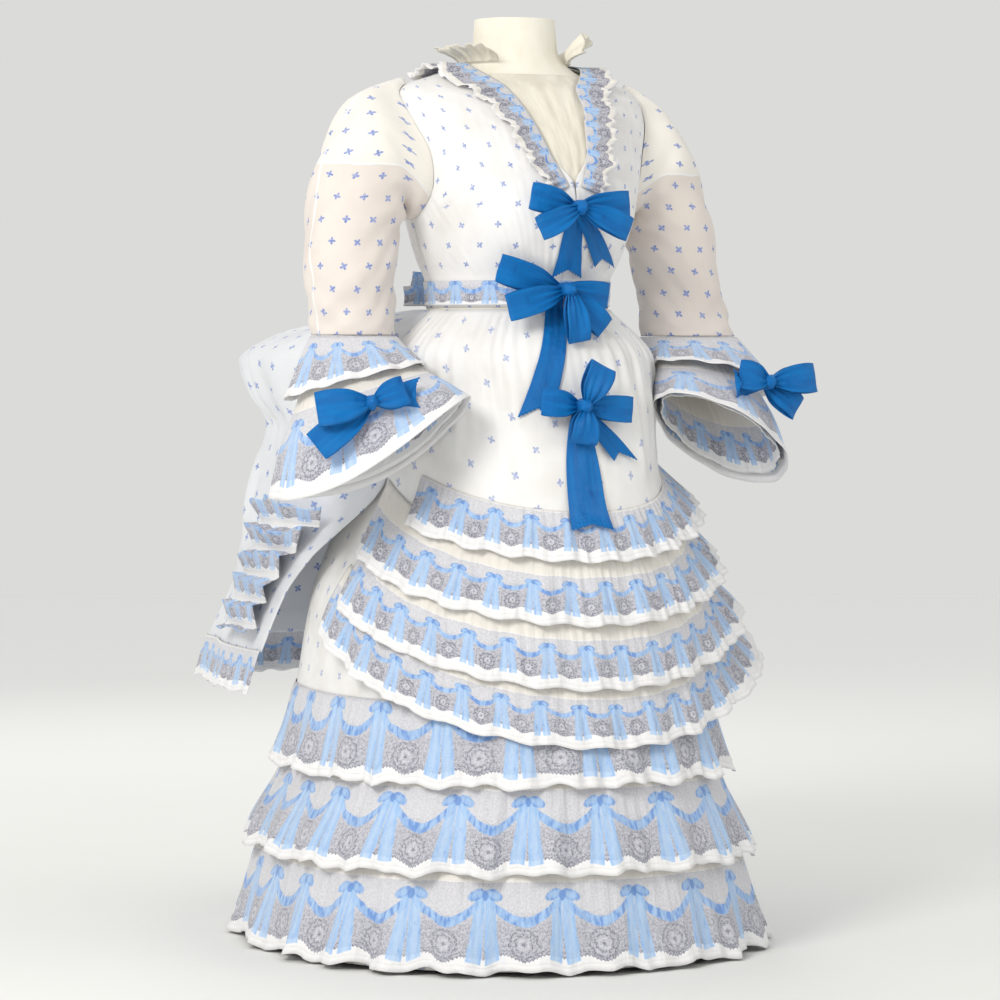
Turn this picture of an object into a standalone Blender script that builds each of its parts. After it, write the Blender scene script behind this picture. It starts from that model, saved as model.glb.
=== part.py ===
"""Ball gown of printed organdy on a limbless dress form, built as closed solids.

The gown faces -Y, its wearer's left is +X, and the stand's foot is on the floor at the origin.
Lengths are millimetres until a mesh is made. Angles are degrees from the centre front, and grow
toward the wearer's left.
"""

import math
from collections import namedtuple

import bpy
import numpy as np
from mathutils import Vector
from mathutils.bvhtree import BVHTree

MM = 0.001
CLOTH = 1.2          # wall of a piece of cloth
SEAM = 0.3           # gap between pieces sewn edge to edge
LAY = 1.6            # from a panel's back to the back of the piece that lies on it
STEP = 11.25         # angle between the columns that neighbouring pieces share
FINE = 3.75          # angle between the columns of a gathered piece
WAIST = 925.0
SKIRT_TOP = 923.2
BELT_TOP = 964.0
NECK_CUT = 1346.0

Ring = namedtuple("Ring", "height side front back room")
BODY = [
    Ring(WAIST, 134, 138, 106, 0.5),
    Ring(963, 136, 142, 110, 2.0),
    Ring(1000, 150, 160, 120, 6.0),
    Ring(1060, 168, 187, 132, 7.0),
    Ring(1100, 178, 180, 140, 7.0),
    Ring(1150, 191, 160, 145, 9.0),
    Ring(1200, 202, 130, 140, 12.0),
    Ring(1230, 198, 105, 122, 12.0),
    Ring(1243, 186, 93, 108, 9.0),
    Ring(1262, 130, 80, 92, 6.5),
    Ring(1280, 84, 70, 78, 5.0),
    Ring(1300, 65, 60, 66, 2.0),
    Ring(NECK_CUT, 61, 57, 63, 2.0),
]
SKIRT = [
    Ring(6, 343, 332, 558, 0),
    Ring(150, 323, 317, 532, 0),
    Ring(255, 292, 298, 480, 0),
    Ring(372, 280, 276, 452, 0),
    Ring(500, 262, 254, 420, 0),
    Ring(600, 226, 234, 385, 0),
    Ring(700, 203, 216, 345, 0),
    Ring(850, 198, 180, 215, 0),
    Ring(WAIST, 134, 138, 106, 0),
]

Puff = namedtuple("Puff", "height side back power kick edge")
DRAPE = [
    Puff(416, 290, 674, 3.0, 46, 104.5),
    Puff(500, 276, 640, 3.0, 24, 101.0),
    Puff(600, 260, 606, 3.0, 4, 93.0),
    Puff(700, 246, 580, 3.0, 0, 90.0),
    Puff(750, 238, 560, 3.0, 0, 90.0),
    Puff(800, 252, 614, 3.0, 0, 90.0),
    Puff(850, 262, 640, 3.0, 0, 90.0),
    Puff(888, 238, 556, 2.8, 0, 90.0),
    Puff(908, 200, 420, 2.5, 0, 90.0),
    Puff(919, 160, 250, 2.2, 0, 90.0),
    Puff(WAIST, 135.6, 107.6, 2.0, 0, 90.0),
]


# Small helpers

def field(table, height, name):
    """One column of a table at a height, straight between its rows."""
    rows = sorted(table)
    return float(np.interp(height, [r.height for r in rows], [getattr(r, name) for r in rows]))


def skin(table, angle, height, out=0.0):
    """A point on the oval of a table at a height, moved level outward."""
    turn = math.radians(angle)
    side = field(table, height, "side")
    depth = field(table, height, "front" if math.cos(turn) > 0 else "back")
    away = np.array([math.sin(turn) / side, -math.cos(turn) / depth])
    away /= np.linalg.norm(away)
    return np.array([side * math.sin(turn) + out * away[0],
                     -depth * math.cos(turn) + out * away[1], height])


def raised(table, angle, height, out):
    """A point over the oval surface of a table, moved along the surface's own normal."""
    base = skin(table, angle, height)
    along = skin(table, angle + 1, height) - skin(table, angle - 1, height)
    up = skin(table, angle, height + 3) - skin(table, angle, height - 3)
    away = np.cross(along, up)
    return base + away / np.linalg.norm(away) * out


def ease(low, high, value):
    """Smooth rise from 0 at low to 1 at high."""
    t = min(1.0, max(0.0, (value - low) / (high - low)))
    return t * t * (3 - 2 * t)


def gather(angle, folds, lean):
    """Uneven gathers between 0 and 1 round a full turn."""
    turn = math.radians(angle)
    phase = folds * turn + lean + 0.8 * math.sin(2 * turn + lean) + 0.35 * math.sin(5 * turn + 2 * lean)
    size = 0.75 + 0.25 * math.sin(3 * turn + 1.7 * lean)
    return 0.5 + 0.5 * size * math.sin(phase)


def mix(a, b, t):
    """The value t of the way from a to b."""
    return a + (b - a) * t


# Solids and objects

def surface_normals(grid, ring):
    """Unit normals of a grid, away from the axis when rows go down and columns go toward +angle."""
    if ring:
        across = np.roll(grid, -1, axis=1) - np.roll(grid, 1, axis=1)
    else:
        across = np.gradient(grid, axis=1)
    down = np.gradient(grid, axis=0)
    away = np.cross(down, across)
    return away / np.maximum(np.linalg.norm(away, axis=2, keepdims=True), 1e-9)


def sheet(grid, ring=False, thick=CLOTH):
    """Closed solid of even thickness whose back is a grid of points.

    Back and face are split into triangles along the same diagonals, so that they never meet.
    """
    grid = np.array(grid, float)
    rows, columns = grid.shape[:2]
    face = grid + surface_normals(grid, ring) * thick
    points = np.concatenate([grid.reshape(-1, 3), face.reshape(-1, 3)])
    count = rows * columns
    faces = []
    last = columns if ring else columns - 1
    for i in range(rows - 1):
        for j in range(last):
            a, b = i * columns + j, i * columns + (j + 1) % columns
            c, d = b + columns, a + columns
            for p, q, r in ((a, b, c), (a, c, d)):
                faces.append((p, q, r))
                faces.append((r + count, q + count, p + count))
    for j in range(last):
        a, b = j, (j + 1) % columns
        faces.append((a + count, b + count, b, a))
        a, b = a + count - columns, b + count - columns
        faces.append((a, b, b + count, a + count))
    if not ring:
        for i in range(rows - 1):
            a, b = i * columns, (i + 1) * columns
            faces.append((a, b, b + count, a + count))
            a, b = a + columns - 1, b + columns - 1
            faces.append((a + count, b + count, b, a))
    return points, faces


def lathe(grid):
    """Closed solid through rings of points, with a flat cap at both ends."""
    grid = np.array(grid, float)
    rows, columns = grid.shape[:2]
    faces = [tuple(range(columns)), tuple(range(rows * columns - 1, (rows - 1) * columns - 1, -1))]
    for i in range(rows - 1):
        for j in range(columns):
            a, b = i * columns + j, i * columns + (j + 1) % columns
            faces.append((b, a, a + columns, b + columns))
    return grid.reshape(-1, 3), faces


def turned_outward(points, faces):
    """The same faces, all turned over if they enclose a negative volume."""
    volume = 0.0
    for face in faces:
        for k in range(1, len(face) - 1):
            volume += np.dot(points[face[0]], np.cross(points[face[k]], points[face[k + 1]]))
    return faces if volume > 0 else [tuple(reversed(face)) for face in faces]


MATERIALS = {
    "sprigged_organdy": ((0.88, 0.86, 0.80), 0.85),
    "printed_organdy": ((0.78, 0.83, 0.90), 0.85),
    "sleeve_organdy": ((0.80, 0.70, 0.62), 0.85),
    "cream_tulle": ((0.90, 0.87, 0.76), 0.90),
    "blue_taffeta": ((0.01, 0.10, 0.42), 0.45),
    "form_cover": ((0.86, 0.81, 0.68), 0.90),
    "stand_wood": ((0.30, 0.17, 0.08), 0.50),
}


def slot(name):
    """The named material, made on first use."""
    if name in bpy.data.materials:
        return bpy.data.materials[name]
    colour, roughness = MATERIALS[name]
    material = bpy.data.materials.new(name)
    material.use_nodes = True
    shader = material.node_tree.nodes["Principled BSDF"]
    shader.inputs["Base Color"].default_value = (*colour, 1.0)
    shader.inputs["Roughness"].default_value = roughness
    return material


def piece(name, solids, material):
    """One named object from closed solids in millimetres."""
    points, faces = [], []
    for own_points, own_faces in solids:
        start = len(points)
        own_faces = turned_outward(own_points, own_faces)
        points.extend(tuple(p * MM) for p in own_points)
        faces.extend(tuple(start + k for k in face) for face in own_faces)
    mesh = bpy.data.meshes.new(name)
    mesh.from_pydata(points, [], faces)
    mesh.materials.append(slot(material))
    mesh.validate()
    made = bpy.data.objects.new(name, mesh)
    bpy.context.scene.collection.objects.link(made)
    return made


def joined(name, solids, material):
    """One named object from closed solids that run into each other, joined into one body."""
    made = piece(name, solids[:1], material)
    for solid in solids[1:]:
        other = piece(name + "_part", [solid], material)
        modifier = made.modifiers.new("join", "BOOLEAN")
        modifier.operation = "UNION"
        modifier.solver = "EXACT"
        modifier.object = other
        evaluated = made.evaluated_get(bpy.context.evaluated_depsgraph_get())
        made.data = bpy.data.meshes.new_from_object(evaluated)
        made.modifiers.clear()
        bpy.data.objects.remove(other, do_unlink=True)
    made.data.name = name
    return made


# Dress form and stand

def ring_of(x, y, count=24, lift=0.0):
    """A level ring of radius x at height y."""
    return [(x * math.cos(2 * math.pi * k / count), x * math.sin(2 * math.pi * k / count), y + lift)
            for k in range(count)]


def dress_form():
    """Torso with a flat-cut neck stump, pole and round base."""
    angles = np.arange(0, 360, 2 * STEP)
    rows = [[(70 * math.sin(math.radians(a)), -70 * math.cos(math.radians(a)), 760) for a in angles]]
    rows.append([skin(SKIRT, a, 800, -34) for a in angles])
    for ring in BODY:
        rows.append([raised(BODY, a, ring.height, -ring.room) for a in angles])
    for point in rows[-1]:
        point[2] = NECK_CUT
    piece("form_torso", [lathe(rows)], "form_cover")
    piece("form_pole", [lathe([ring_of(16, 30.3, 16), ring_of(16, 760 - SEAM, 16)])], "stand_wood")
    profile = [(170, 0), (170, 12), (150, 18), (28, 30)]
    piece("form_base", [lathe([ring_of(r, z, 24) for r, z in profile])], "stand_wood")


# Bodice

Row = namedtuple("Row", "inner_angle inner_height outer_angle outer_height")
FRONT = [
    Row(0, WAIST + SEAM, 90, WAIST + SEAM),
    Row(0, 963, 90, 963),
    Row(0, 1000, 90, 1000),
    Row(0, 1060, 90, 1058),
    Row(0.5, 1100, 78, 1074),
    Row(8.6, 1140, 69, 1106),
    Row(12, 1190, 66, 1145),
    Row(19, 1240, 70, 1188),
    Row(41, 1262, 80, 1224),
    Row(90, 1280, 90, 1243),
]
ARMHOLE = [(90, 1243), (80, 1224), (70, 1188), (66, 1145), (69, 1106), (78, 1074), (90, 1058),
           (102, 1074), (111, 1106), (114, 1145), (110, 1188), (100, 1224)]


def bodice():
    """Two fronts with a deep V neck, and one back."""
    gap = SEAM / 2
    for sign, name in ((-1, "bodice_front_right"), (1, "bodice_front_left")):
        grid = []
        for row in FRONT:
            line = []
            for t in np.linspace(0, 1, 9):
                point = skin(BODY, mix(row.inner_angle, row.outer_angle, t),
                             mix(row.inner_height, row.outer_height, t))
                point[0] = max(point[0], gap)
                point[1] = min(point[1], -gap)
                line.append(point * (sign, 1, 1))
            grid.append(line if sign > 0 else line[::-1])
        piece(name, [sheet(grid[::-1])], "sprigged_organdy")
    heights = [(90, WAIST + SEAM), (90, 963), (90, 1000), (90, 1058), (102, 1074), (111, 1106),
               (114, 1145), (110, 1188)]
    lines = [[(mix(a, 360 - a, t), z) for t in np.linspace(0, 1, 17)] for a, z in heights]
    knots = [0, 1 / 16, 3 / 16, 5 / 16, 8 / 16, 11 / 16, 13 / 16, 15 / 16, 1]
    tops = [
        [(100, 1224), (101, 1232), (108, 1242), (134, 1238), (180, 1232), (226, 1238), (252, 1242),
         (259, 1232), (260, 1224)],
        [(90, 1243), (90, 1255), (90, 1280), (126, 1274), (180, 1268), (234, 1274), (270, 1280), (270, 1255),
         (270, 1243)],
    ]
    for top in tops:
        ts = np.linspace(0, 1, 17)
        lines.append(list(zip(np.interp(ts, knots, [p[0] for p in top]),
                              np.interp(ts, knots, [p[1] for p in top]))))
    grid = []
    for line in lines:
        points = [skin(BODY, a, z) for a, z in line]
        for point in points:
            point[1] = max(point[1], gap)
        grid.append(points)
    piece("bodice_back", [sheet(grid[::-1])], "sprigged_organdy")


Edge = namedtuple("Edge", "at inner_angle inner_height outer_angle outer_height")
NECKLINE = [
    Edge(0.00, 3, 1096, 12, 1082),
    Edge(0.14, 8.6, 1140, 20, 1128),
    Edge(0.28, 12, 1190, 25, 1180),
    Edge(0.44, 19, 1240, 36, 1226),
    Edge(0.56, 41, 1262, 54, 1246),
    Edge(0.70, 88, 1279, 84, 1262),
    Edge(0.85, 126, 1274, 126, 1250),
    Edge(1.00, 180, 1268, 180, 1240),
]


def neck():
    """Tulle filling in the V, a standing tulle frill and the printed ruffle in two strips."""
    rows = [(1262, 36), (1238, 22), (1190, 16), (1140, 13), (1100, 9), (1086, 5)]
    grid = []
    for z, half in rows:
        deep = 2.4 + 2 * ease(1130, 1190, z)
        grid.append([skin(BODY, half * t, z, -deep - 1.4 * (1 - abs(t)) - 0.8 * (k % 2))
                     for k, t in enumerate(np.linspace(-1, 1, 7))])
    piece("neck_filling", [sheet(grid)], "cream_tulle")
    angles = np.arange(41.25, 319, FINE * 1.5)
    grid = []
    for t in (1.0, 0.0):
        grid.append([skin(BODY, a, 1281.2 + 48 * t - 26 * t * (1 - ease(41, 80, a) * (1 - ease(280, 319, a))),
                          0.4 + 20 * t + 18 * t * t + 12 * t * gather(a, 12, 0.6)) for a in angles])
    piece("neck_tulle", [sheet(grid)], "cream_tulle")
    for sign, name in ((-1, "neck_ruffle_right"), (1, "neck_ruffle_left")):
        grid = []
        for across in (0.0, 1.0):
            line = []
            for k in range(41):
                at = k / 40
                row = [np.interp(at, [e.at for e in NECKLINE], [e[n] for e in NECKLINE]) for n in range(1, 5)]
                fold = 0.5 - 0.5 * math.cos(2 * math.pi * 10 * (at + 0.012 * math.sin(14 * at)))
                lift = 2.0 + 9 * across * fold + 5 * across
                narrow = 1 - 0.22 * (sign > 0) * ease(0.30, 0.44, at) * (1 - ease(0.56, 0.70, at))
                angle = mix(row[0], row[2], across) * narrow + 1.2 * across * math.sin(2 * math.pi * 10 * at)
                point = raised(BODY, min(angle, 179.8), mix(row[1], row[3], across), lift)
                line.append(point * (sign, 1, 1))
            grid.append(line if sign > 0 else line[::-1])
        piece(name, [sheet(grid)], "printed_organdy")


# Sleeves

Tube = namedtuple("Tube", "x y height top_x top_height tall deep")
ARMS = {
    "right": [
        Tube(230, -4, 1146, 0.44, 0.90, 84, 70),
        Tube(252, -6, 1100, 0.80, 0.60, 75, 66),
        Tube(266, -8, 1046, 0.97, 0.25, 69, 64),
        Tube(272, -10, 985, 1.00, 0.00, 66, 62),
        Tube(271, -11, 930, 1.00, 0.00, 61, 60),
        Tube(268, -12, 885.4, 1.00, 0.00, 58.5, 58.5),
    ],
    "left": [
        Tube(219, -4, 1136, 0.42, 0.91, 78, 68),
        Tube(238, -6, 1092, 0.76, 0.65, 70, 66),
        Tube(253, -8, 1040, 0.96, 0.28, 66, 64),
        Tube(264, -10, 985, 1.00, -0.05, 64, 62),
        Tube(274, -12, 930, 1.00, -0.05, 65, 62),
        Tube(284, -14, 885.4, 1.00, 0.00, 69, 69),
    ],
}
Bell = namedtuple("Bell", "x y height turn tilt high outer inner drop")
BELLS = {
    "right": [
        Bell(268, -12, 884, 45, 0, 58.5, 58.5, 58.5, 0),
        Bell(276, -50, 822, 45, 14, 88, 80, 58, 2),
        Bell(281, -80, 776, 45, 20, 126, 92, 60, 14),
        Bell(284, -102, 728, 45, 26, 162, 100, 62, 46),
    ],
    "left": [
        Bell(284, -14, 884, 30, 0, 69, 69, 69, 0),
        Bell(277, -56, 826, 30, 14, 84, 82, 66, 0),
        Bell(270, -104, 780, 30, 22, 112, 88, 72, 0),
        Bell(266, -130, 735, 30, 29, 138, 96, 80, 0),
    ],
}


def bell_point(side, angle, along, out=0.0):
    """A point of a bell sleeve, drawn for the left arm: angle round it from its high edge, along 0 to 1."""
    rows = BELLS[side]
    row = Bell(*[float(np.interp(along * 3, range(4), [getattr(b, n) for b in rows])) for n in Bell._fields])
    tilt, turn, swing = math.radians(row.tilt), math.radians(angle), math.radians(row.turn)
    high = np.array([-math.cos(tilt) * math.cos(swing), -math.cos(tilt) * math.sin(swing), math.sin(tilt)])
    cross = np.array([math.sin(swing), -math.cos(swing), 0.0])
    width = row.outer if math.sin(turn) > 0 else row.inner
    centre = np.array([row.x, row.y, row.height - row.drop * math.sin(turn) ** 2])
    return centre + (row.high + out) * math.cos(turn) * high + (width + out) * math.sin(turn) * cross


def frill_out(side, angle, t):
    """How far an elbow frill stands off its bell, less where it hangs against the hip."""
    free = 0.12 + 0.88 * ease(-0.9, 0.2, math.sin(math.radians(angle - 20)))
    spread, lean = (14, -1) if side == "right" else (30, 1)
    return 3.0 + (spread + 9 * gather(angle, 9, lean)) * t * free


def sleeves():
    """Upper sleeve, elbow frill, bell and the pleated layer inside it, on both sides."""
    for sign, side, inset in ((-1, "right", 3.8), (1, "left", 5.2)):
        def ringed(grid):
            """The grid on this side, with its columns the right way round."""
            grid = [[p * (sign, 1, 1) for p in line] for line in grid]
            return [line[::-1] for line in grid] if sign > 0 else grid
        grid = [[raised(BODY, a, z, LAY + 0.8) for a, z in ARMHOLE]]
        grid.append([raised(BODY, a, z, 14) for a, z in ARMHOLE])
        for tube in ARMS[side]:
            line = []
            for k in range(12):
                turn = 2 * math.pi * k / 12
                up, forward = math.cos(turn) * tube.tall, math.sin(turn) * tube.deep
                line.append(np.array([tube.x + up * tube.top_x, tube.y - forward, tube.height + up * tube.top_height]))
            grid.append(line)
        piece("sleeve_" + side, [sheet(ringed(grid), ring=True)], "sleeve_organdy")
        columns = np.arange(0, 360, 15.0)
        grid = [[bell_point(side, a, t) for a in columns] for t in (0, 1 / 3, 2 / 3, 1)]
        piece("sleeve_bell_" + side, [sheet(ringed(grid), ring=True)], "sprigged_organdy")
        grid = []
        for t in (1 / 3, 2 / 3, 0.96):
            grid.append([bell_point(side, a, t, -inset - 4 * (t - 1 / 3) * (3 if k % 3 == 0 else 1))
                         for k, a in enumerate(columns)])
        piece("bell_layer_" + side, [sheet(ringed(grid), ring=True)], "cream_tulle")
        columns = np.arange(0, 360, 10.0)
        grid = []
        for t in (0, 1):
            grid.append([bell_point(side, a, t / 3, frill_out(side, a, t)) - (0, 0, 2 * t) for a in columns])
        piece("elbow_frill_" + side, [sheet(ringed(grid), ring=True)], "printed_organdy")


# Skirt

Flounce = namedtuple("Flounce", "name top hem spread depth folds lean shares")
FLOUNCES = [
    Flounce("flounce_1", 372, 256, 11, 17, 21, 0.3, (0, 1)),
    Flounce("flounce_2", 270, 137, 12, 20, 21, 1.7, (0, 1)),
    Flounce("flounce_3", 150, 6, 12, 22, 21, 2.6, (0, 0.5, 1)),
]
TIER_FOLDS = 22
Tier = namedtuple("Tier", "name top hem rise start wing spread depth lean")
TIERS = [
    Tier("apron_tier_1", 636, 567, 90, -68, 52, 14, 10, 0.2),
    Tier("apron_tier_2", 580, 478, 104, -88, 62, 13, 10, 1.4),
    Tier("apron_tier_3", 491, 389, 116, -90, 76, 13, 10, 2.6),
    Tier("apron_tier_4", 402, 309, 136, -96, 96, 16, 10, 3.8),
]


def flounce_point(row, angle, t):
    """A point of a wide flounce, t from its head to its hem."""
    out = LAY + row.spread * t + row.depth * t * gather(angle, row.folds, row.lean)
    return skin(SKIRT, angle, mix(row.top, row.hem, t), out)


def tier_point(row, angle, t):
    """A point of an apron tier, t from its head to its hem, winged out at the wearer's left."""
    share = (angle / 90) ** 2
    height = mix(row.top, row.hem, t) + row.rise * share
    wing = row.wing * t * ease(34, 92, angle) + 10 * t * ease(40, 88, -angle)
    out = 2 * LAY + row.spread * t + wing + row.depth * t * gather(angle, TIER_FOLDS, row.lean)
    return skin(SKIRT, angle, height, out)


def drape_point(s, height, out=0.0, low=0.0):
    """A point of the puffed back drape, s from its right front edge (0) to its left one (1)."""
    base = max(height, DRAPE[0].height)
    edge = field(DRAPE, base, "edge")
    angle = mix(edge, 360 - edge, s)
    turn = math.radians(angle)
    side, back = field(DRAPE, base, "side"), field(DRAPE, base, "back")
    power = field(DRAPE, base, "power")
    lift = out + low + field(DRAPE, base, "kick") * math.exp(-((abs(angle - 180) - 24) / 10) ** 2)
    sine, cosine = abs(math.sin(turn)) ** (2 / power), abs(math.cos(turn)) ** (2 / power)
    x, y = side * sine * math.copysign(1, math.sin(turn)), back * cosine
    under = skin(SKIRT, angle, height, LAY)
    near = 1 - ease(edge, edge + STEP * 0.9, min(angle, 360 - angle))
    hug = near * ease(560, 690, height)
    away = np.array([math.copysign(abs(x / side) ** (power - 1), x) / side, abs(y / back) ** (power - 1) / back])
    away /= np.linalg.norm(away)
    point = np.array([mix(x, under[0], hug) + lift * away[0], mix(y, under[1], hug) + lift * away[1], height])
    return point


def panel_point(s, height, out):
    """A point over the drape's flat facets, between its 17 columns and its rows."""
    column = min(15, int(s * 16))
    low = max([row.height for row in DRAPE if row.height <= height], default=height)
    high = min([row.height for row in DRAPE if row.height > height], default=height)
    if low == height:
        high = height
    ends = []
    for level in (low, high):
        ends.append(mix(drape_point(column / 16, level, out), drape_point((column + 1) / 16, level, out),
                        s * 16 - column))
    return mix(ends[0], ends[1], (height - low) / max(high - low, 1))


def skirt():
    """Underskirt, wide flounces, apron with its tiers, back drape with its frill and cascades."""
    round_angles = np.arange(0, 360, 2 * STEP)
    heights = sorted({r.height for r in SKIRT}, reverse=True)
    heights[0] = SKIRT_TOP
    piece("underskirt", [sheet([[skin(SKIRT, a, z) for a in round_angles] for z in heights], ring=True)],
          "sprigged_organdy")
    fine_angles = np.arange(0, 360, FINE)
    for row in FLOUNCES:
        grid = [[flounce_point(row, a, t) for a in fine_angles] for t in row.shares]
        piece(row.name, [sheet(grid, ring=True)], "printed_organdy")
    columns = np.arange(-90, 91, STEP)
    grid = []
    for z in (SKIRT_TOP, 850, 700, 600, 500):
        grid.append([skin(SKIRT, a, z, LAY) for a in columns])
    grid.append([skin(SKIRT, a, 388 + 104 * (a / 90) ** 2, LAY) for a in columns])
    for line in grid:
        line[0][1] -= SEAM / 2
        line[-1][1] -= SEAM / 2
    piece("apron", [sheet(grid)], "sprigged_organdy")
    for row in TIERS:
        columns = np.linspace(row.start, 89.6, 49)
        grid = [[tier_point(row, a, t) for a in columns] for t in (0, 1)]
        piece(row.name, [sheet(grid)], "printed_organdy")
    shares = np.linspace(0, 1, 17)
    grid = []
    for row in DRAPE[::-1]:
        line = [drape_point(s, min(row.height, SKIRT_TOP)) for s in shares]
        line[0][1] += SEAM / 2
        line[-1][1] += SEAM / 2
        grid.append(line)
    piece("back_drape", [sheet(grid)], "sprigged_organdy")
    grid = []
    for t in (0, 1):
        grid.append([panel_point(s, 418 - 64 * t, LAY + 1.8 + 9 * t + 12 * t * gather(360 * s, 15, 0.9))
                     for s in np.linspace(0, 1, 65)])
    piece("drape_frill", [sheet(grid)], "printed_organdy")
    for name, first, last, low in (("side_cascade_right", 0.02, 0.12, 8), ("side_cascade_left", 0.88, 0.98, 7.5)):
        grid = []
        for k, height in enumerate(np.linspace(640, 446, 11)):
            out = LAY + (36 - 1.2 * k if k % 2 else low)
            grid.append([panel_point(s, height - 14 * (k % 2), out) for s in np.linspace(first, last, 4)])
        piece(name, [sheet(grid)], "printed_organdy")


# Belt, sash and bows

Loop = namedtuple("Loop", "angle reach width layer")
Tail = namedtuple("Tail", "points fork")
FRONT_BOWS = {
    "bow_neck": (BODY, -8, 1066, 3.8,
                 [Loop(168, 76, 40, 0), Loop(205, 76, 36, 1), Loop(4, 86, 40, 0), Loop(-22, 84, 36, 1)],
                 [Tail([(-8, 1064, 12, 8), (-4, 1040, 26, 4), (2, 1000, 36, 4), (4, 966, 46, 7)], 12),
                  Tail([(-6, 1065, 12, 14), (12, 1044, 26, 9), (36, 1022, 34, 5), (70, 982, 46, 7)], 16)]),
    "bow_waist": (BODY, -8, 950, 3.9,
                  [Loop(163, 106, 42, 0), Loop(196, 98, 40, 1), Loop(-6, 78, 38, 0), Loop(-41, 84, 36, 1),
                   Loop(-80, 76, 36, 2)],
                  [Tail([(-8, 949, 12, 9), (-13, 920, 26, 6), (-22, 890, 32, 5), (-37, 850, 38, 5),
                         (-70, 768, 44, 6)], 14)]),
    "bow_apron": (SKIRT, -8, 785, 4.8,
                  [Loop(65, 64, 44, 1), Loop(174, 64, 40, 0), Loop(-4, 84, 38, 0), Loop(-97, 54, 44, 1)],
                  [Tail([(-8, 784, 12, 9), (-8, 752, 34, 6), (-8, 700, 50, 5), (-8, 645, 56, 8),
                         (-8, 610, 60, 19)], 8),
                   Tail([(-5, 783, 11, 17), (14, 761, 26, 12), (34, 741, 38, 7), (64, 706, 46, 8)], 16)]),
}
BELL_BOWS = {
    "right": ((-318, -172, 788), (-0.36, -0.92, 0.16), 1.0,
              [Loop(188, 78, 50, 1), Loop(218, 98, 46, 0), Loop(20, 50, 42, 1)],
              [Tail([(4, 4, 14, 8), (40, 12, 34, 6), (70, 16, 44, 8)], 14)]),
    "left": ((311, -166, 812), (0.04, -0.98, 0.18), 0.8,
             [Loop(4, 80, 44, 1), Loop(-36, 66, 40, 0), Loop(168, 54, 44, 1)],
             [Tail([(-4, -2, 14, 8), (-42, -3, 34, 16), (-70, -4, 42, 34)], 14)]),
}
SASH_LOOPS = [Loop(-2, 122, 30, 0), Loop(10, 104, 32, 1), Loop(182, 122, 30, 0), Loop(170, 104, 32, 1)]
LOOP_PATH = [(0.0, 0.50), (0.35, 0.95), (0.75, 0.95), (1.0, 0.50), (0.75, 0.10), (0.35, 0.04), (0.0, 0.18)]
LOOP_WIDE = [0.30, 0.85, 1.0, 0.96, 1.0, 0.85, 0.30]
LOOP_DEEP = 15.0
KNOT = 9.0


def bow_loop(frame, loop, start):
    """One flattened ribbon loop that starts inside a knot."""
    origin, right, up, out = frame
    turn = math.radians(loop.angle)
    along = right * math.cos(turn) + up * math.sin(turn)
    across = up * math.cos(turn) - right * math.sin(turn)
    grid = []
    for (a, b), wide in zip(LOOP_PATH, LOOP_WIDE):
        middle = origin + along * mix(KNOT * 0.4, loop.reach, a)
        middle = middle + out * (start + LOOP_DEEP * (loop.layer + 0.9 * b))
        grid.append([middle - across * loop.width * wide / 2, middle + across * loop.width * wide / 2])
    return sheet(grid)


def bow_knot(frame, low, high):
    """A rounded knot between two distances from the cloth."""
    origin, right, up, out = frame
    grid = []
    for share, size in ((0, 0.7), (0.3, 1.0), (0.75, 1.0), (1, 0.62)):
        line = []
        for k in range(8):
            turn = 2 * math.pi * (k + 0.5) / 8
            line.append(origin + right * KNOT * size * math.cos(turn) + up * KNOT * size * math.sin(turn)
                        + out * mix(low, high, share))
        grid.append(line)
    return lathe(grid)


def forked(grid, fork):
    """Draws the middle of a ribbon's last row back, so that the end is cut in a fork."""
    back = grid[-2][1] - grid[-1][1]
    grid[-1][1] = grid[-1][1] + back / np.linalg.norm(back) * fork
    return grid


def probes(points, faces):
    """The corners of a solid and the middles of its edges."""
    middles = [(points[face[k]] + points[face[k - 1]]) / 2 for face in faces for k in range(len(face))]
    return list(points) + middles


def seated(solids, away, hosts, gap):
    """The solids moved along a direction until their nearest point is the gap away from the hosts."""
    least = 1e9
    back = Vector(away) * 60
    for host in hosts:
        corners = [np.array(v.co) / MM for v in host.vertices]
        sides = [tuple(p.vertices) for p in host.polygons]
        host_tree = BVHTree.FromPolygons([Vector(c) for c in corners], sides)
        for points, faces in solids:
            tree = BVHTree.FromPolygons([Vector(p) for p in points], faces)
            hits = [host_tree.ray_cast(Vector(p) + back, Vector(-away), 140) for p in probes(points, faces)]
            hits += [tree.ray_cast(Vector(p) - back, Vector(away), 140) for p in probes(corners, sides)]
            least = min([least] + [hit[3] - 60 for hit in hits if hit[0] is not None])
    return [(points - away * (least - gap), faces) for points, faces in solids]


def on_front(table, across, height, out):
    """A point over the front of a table's oval at a distance from the centre line."""
    return skin(table, math.degrees(math.asin(across / field(table, height, "side"))), height, out)


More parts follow.
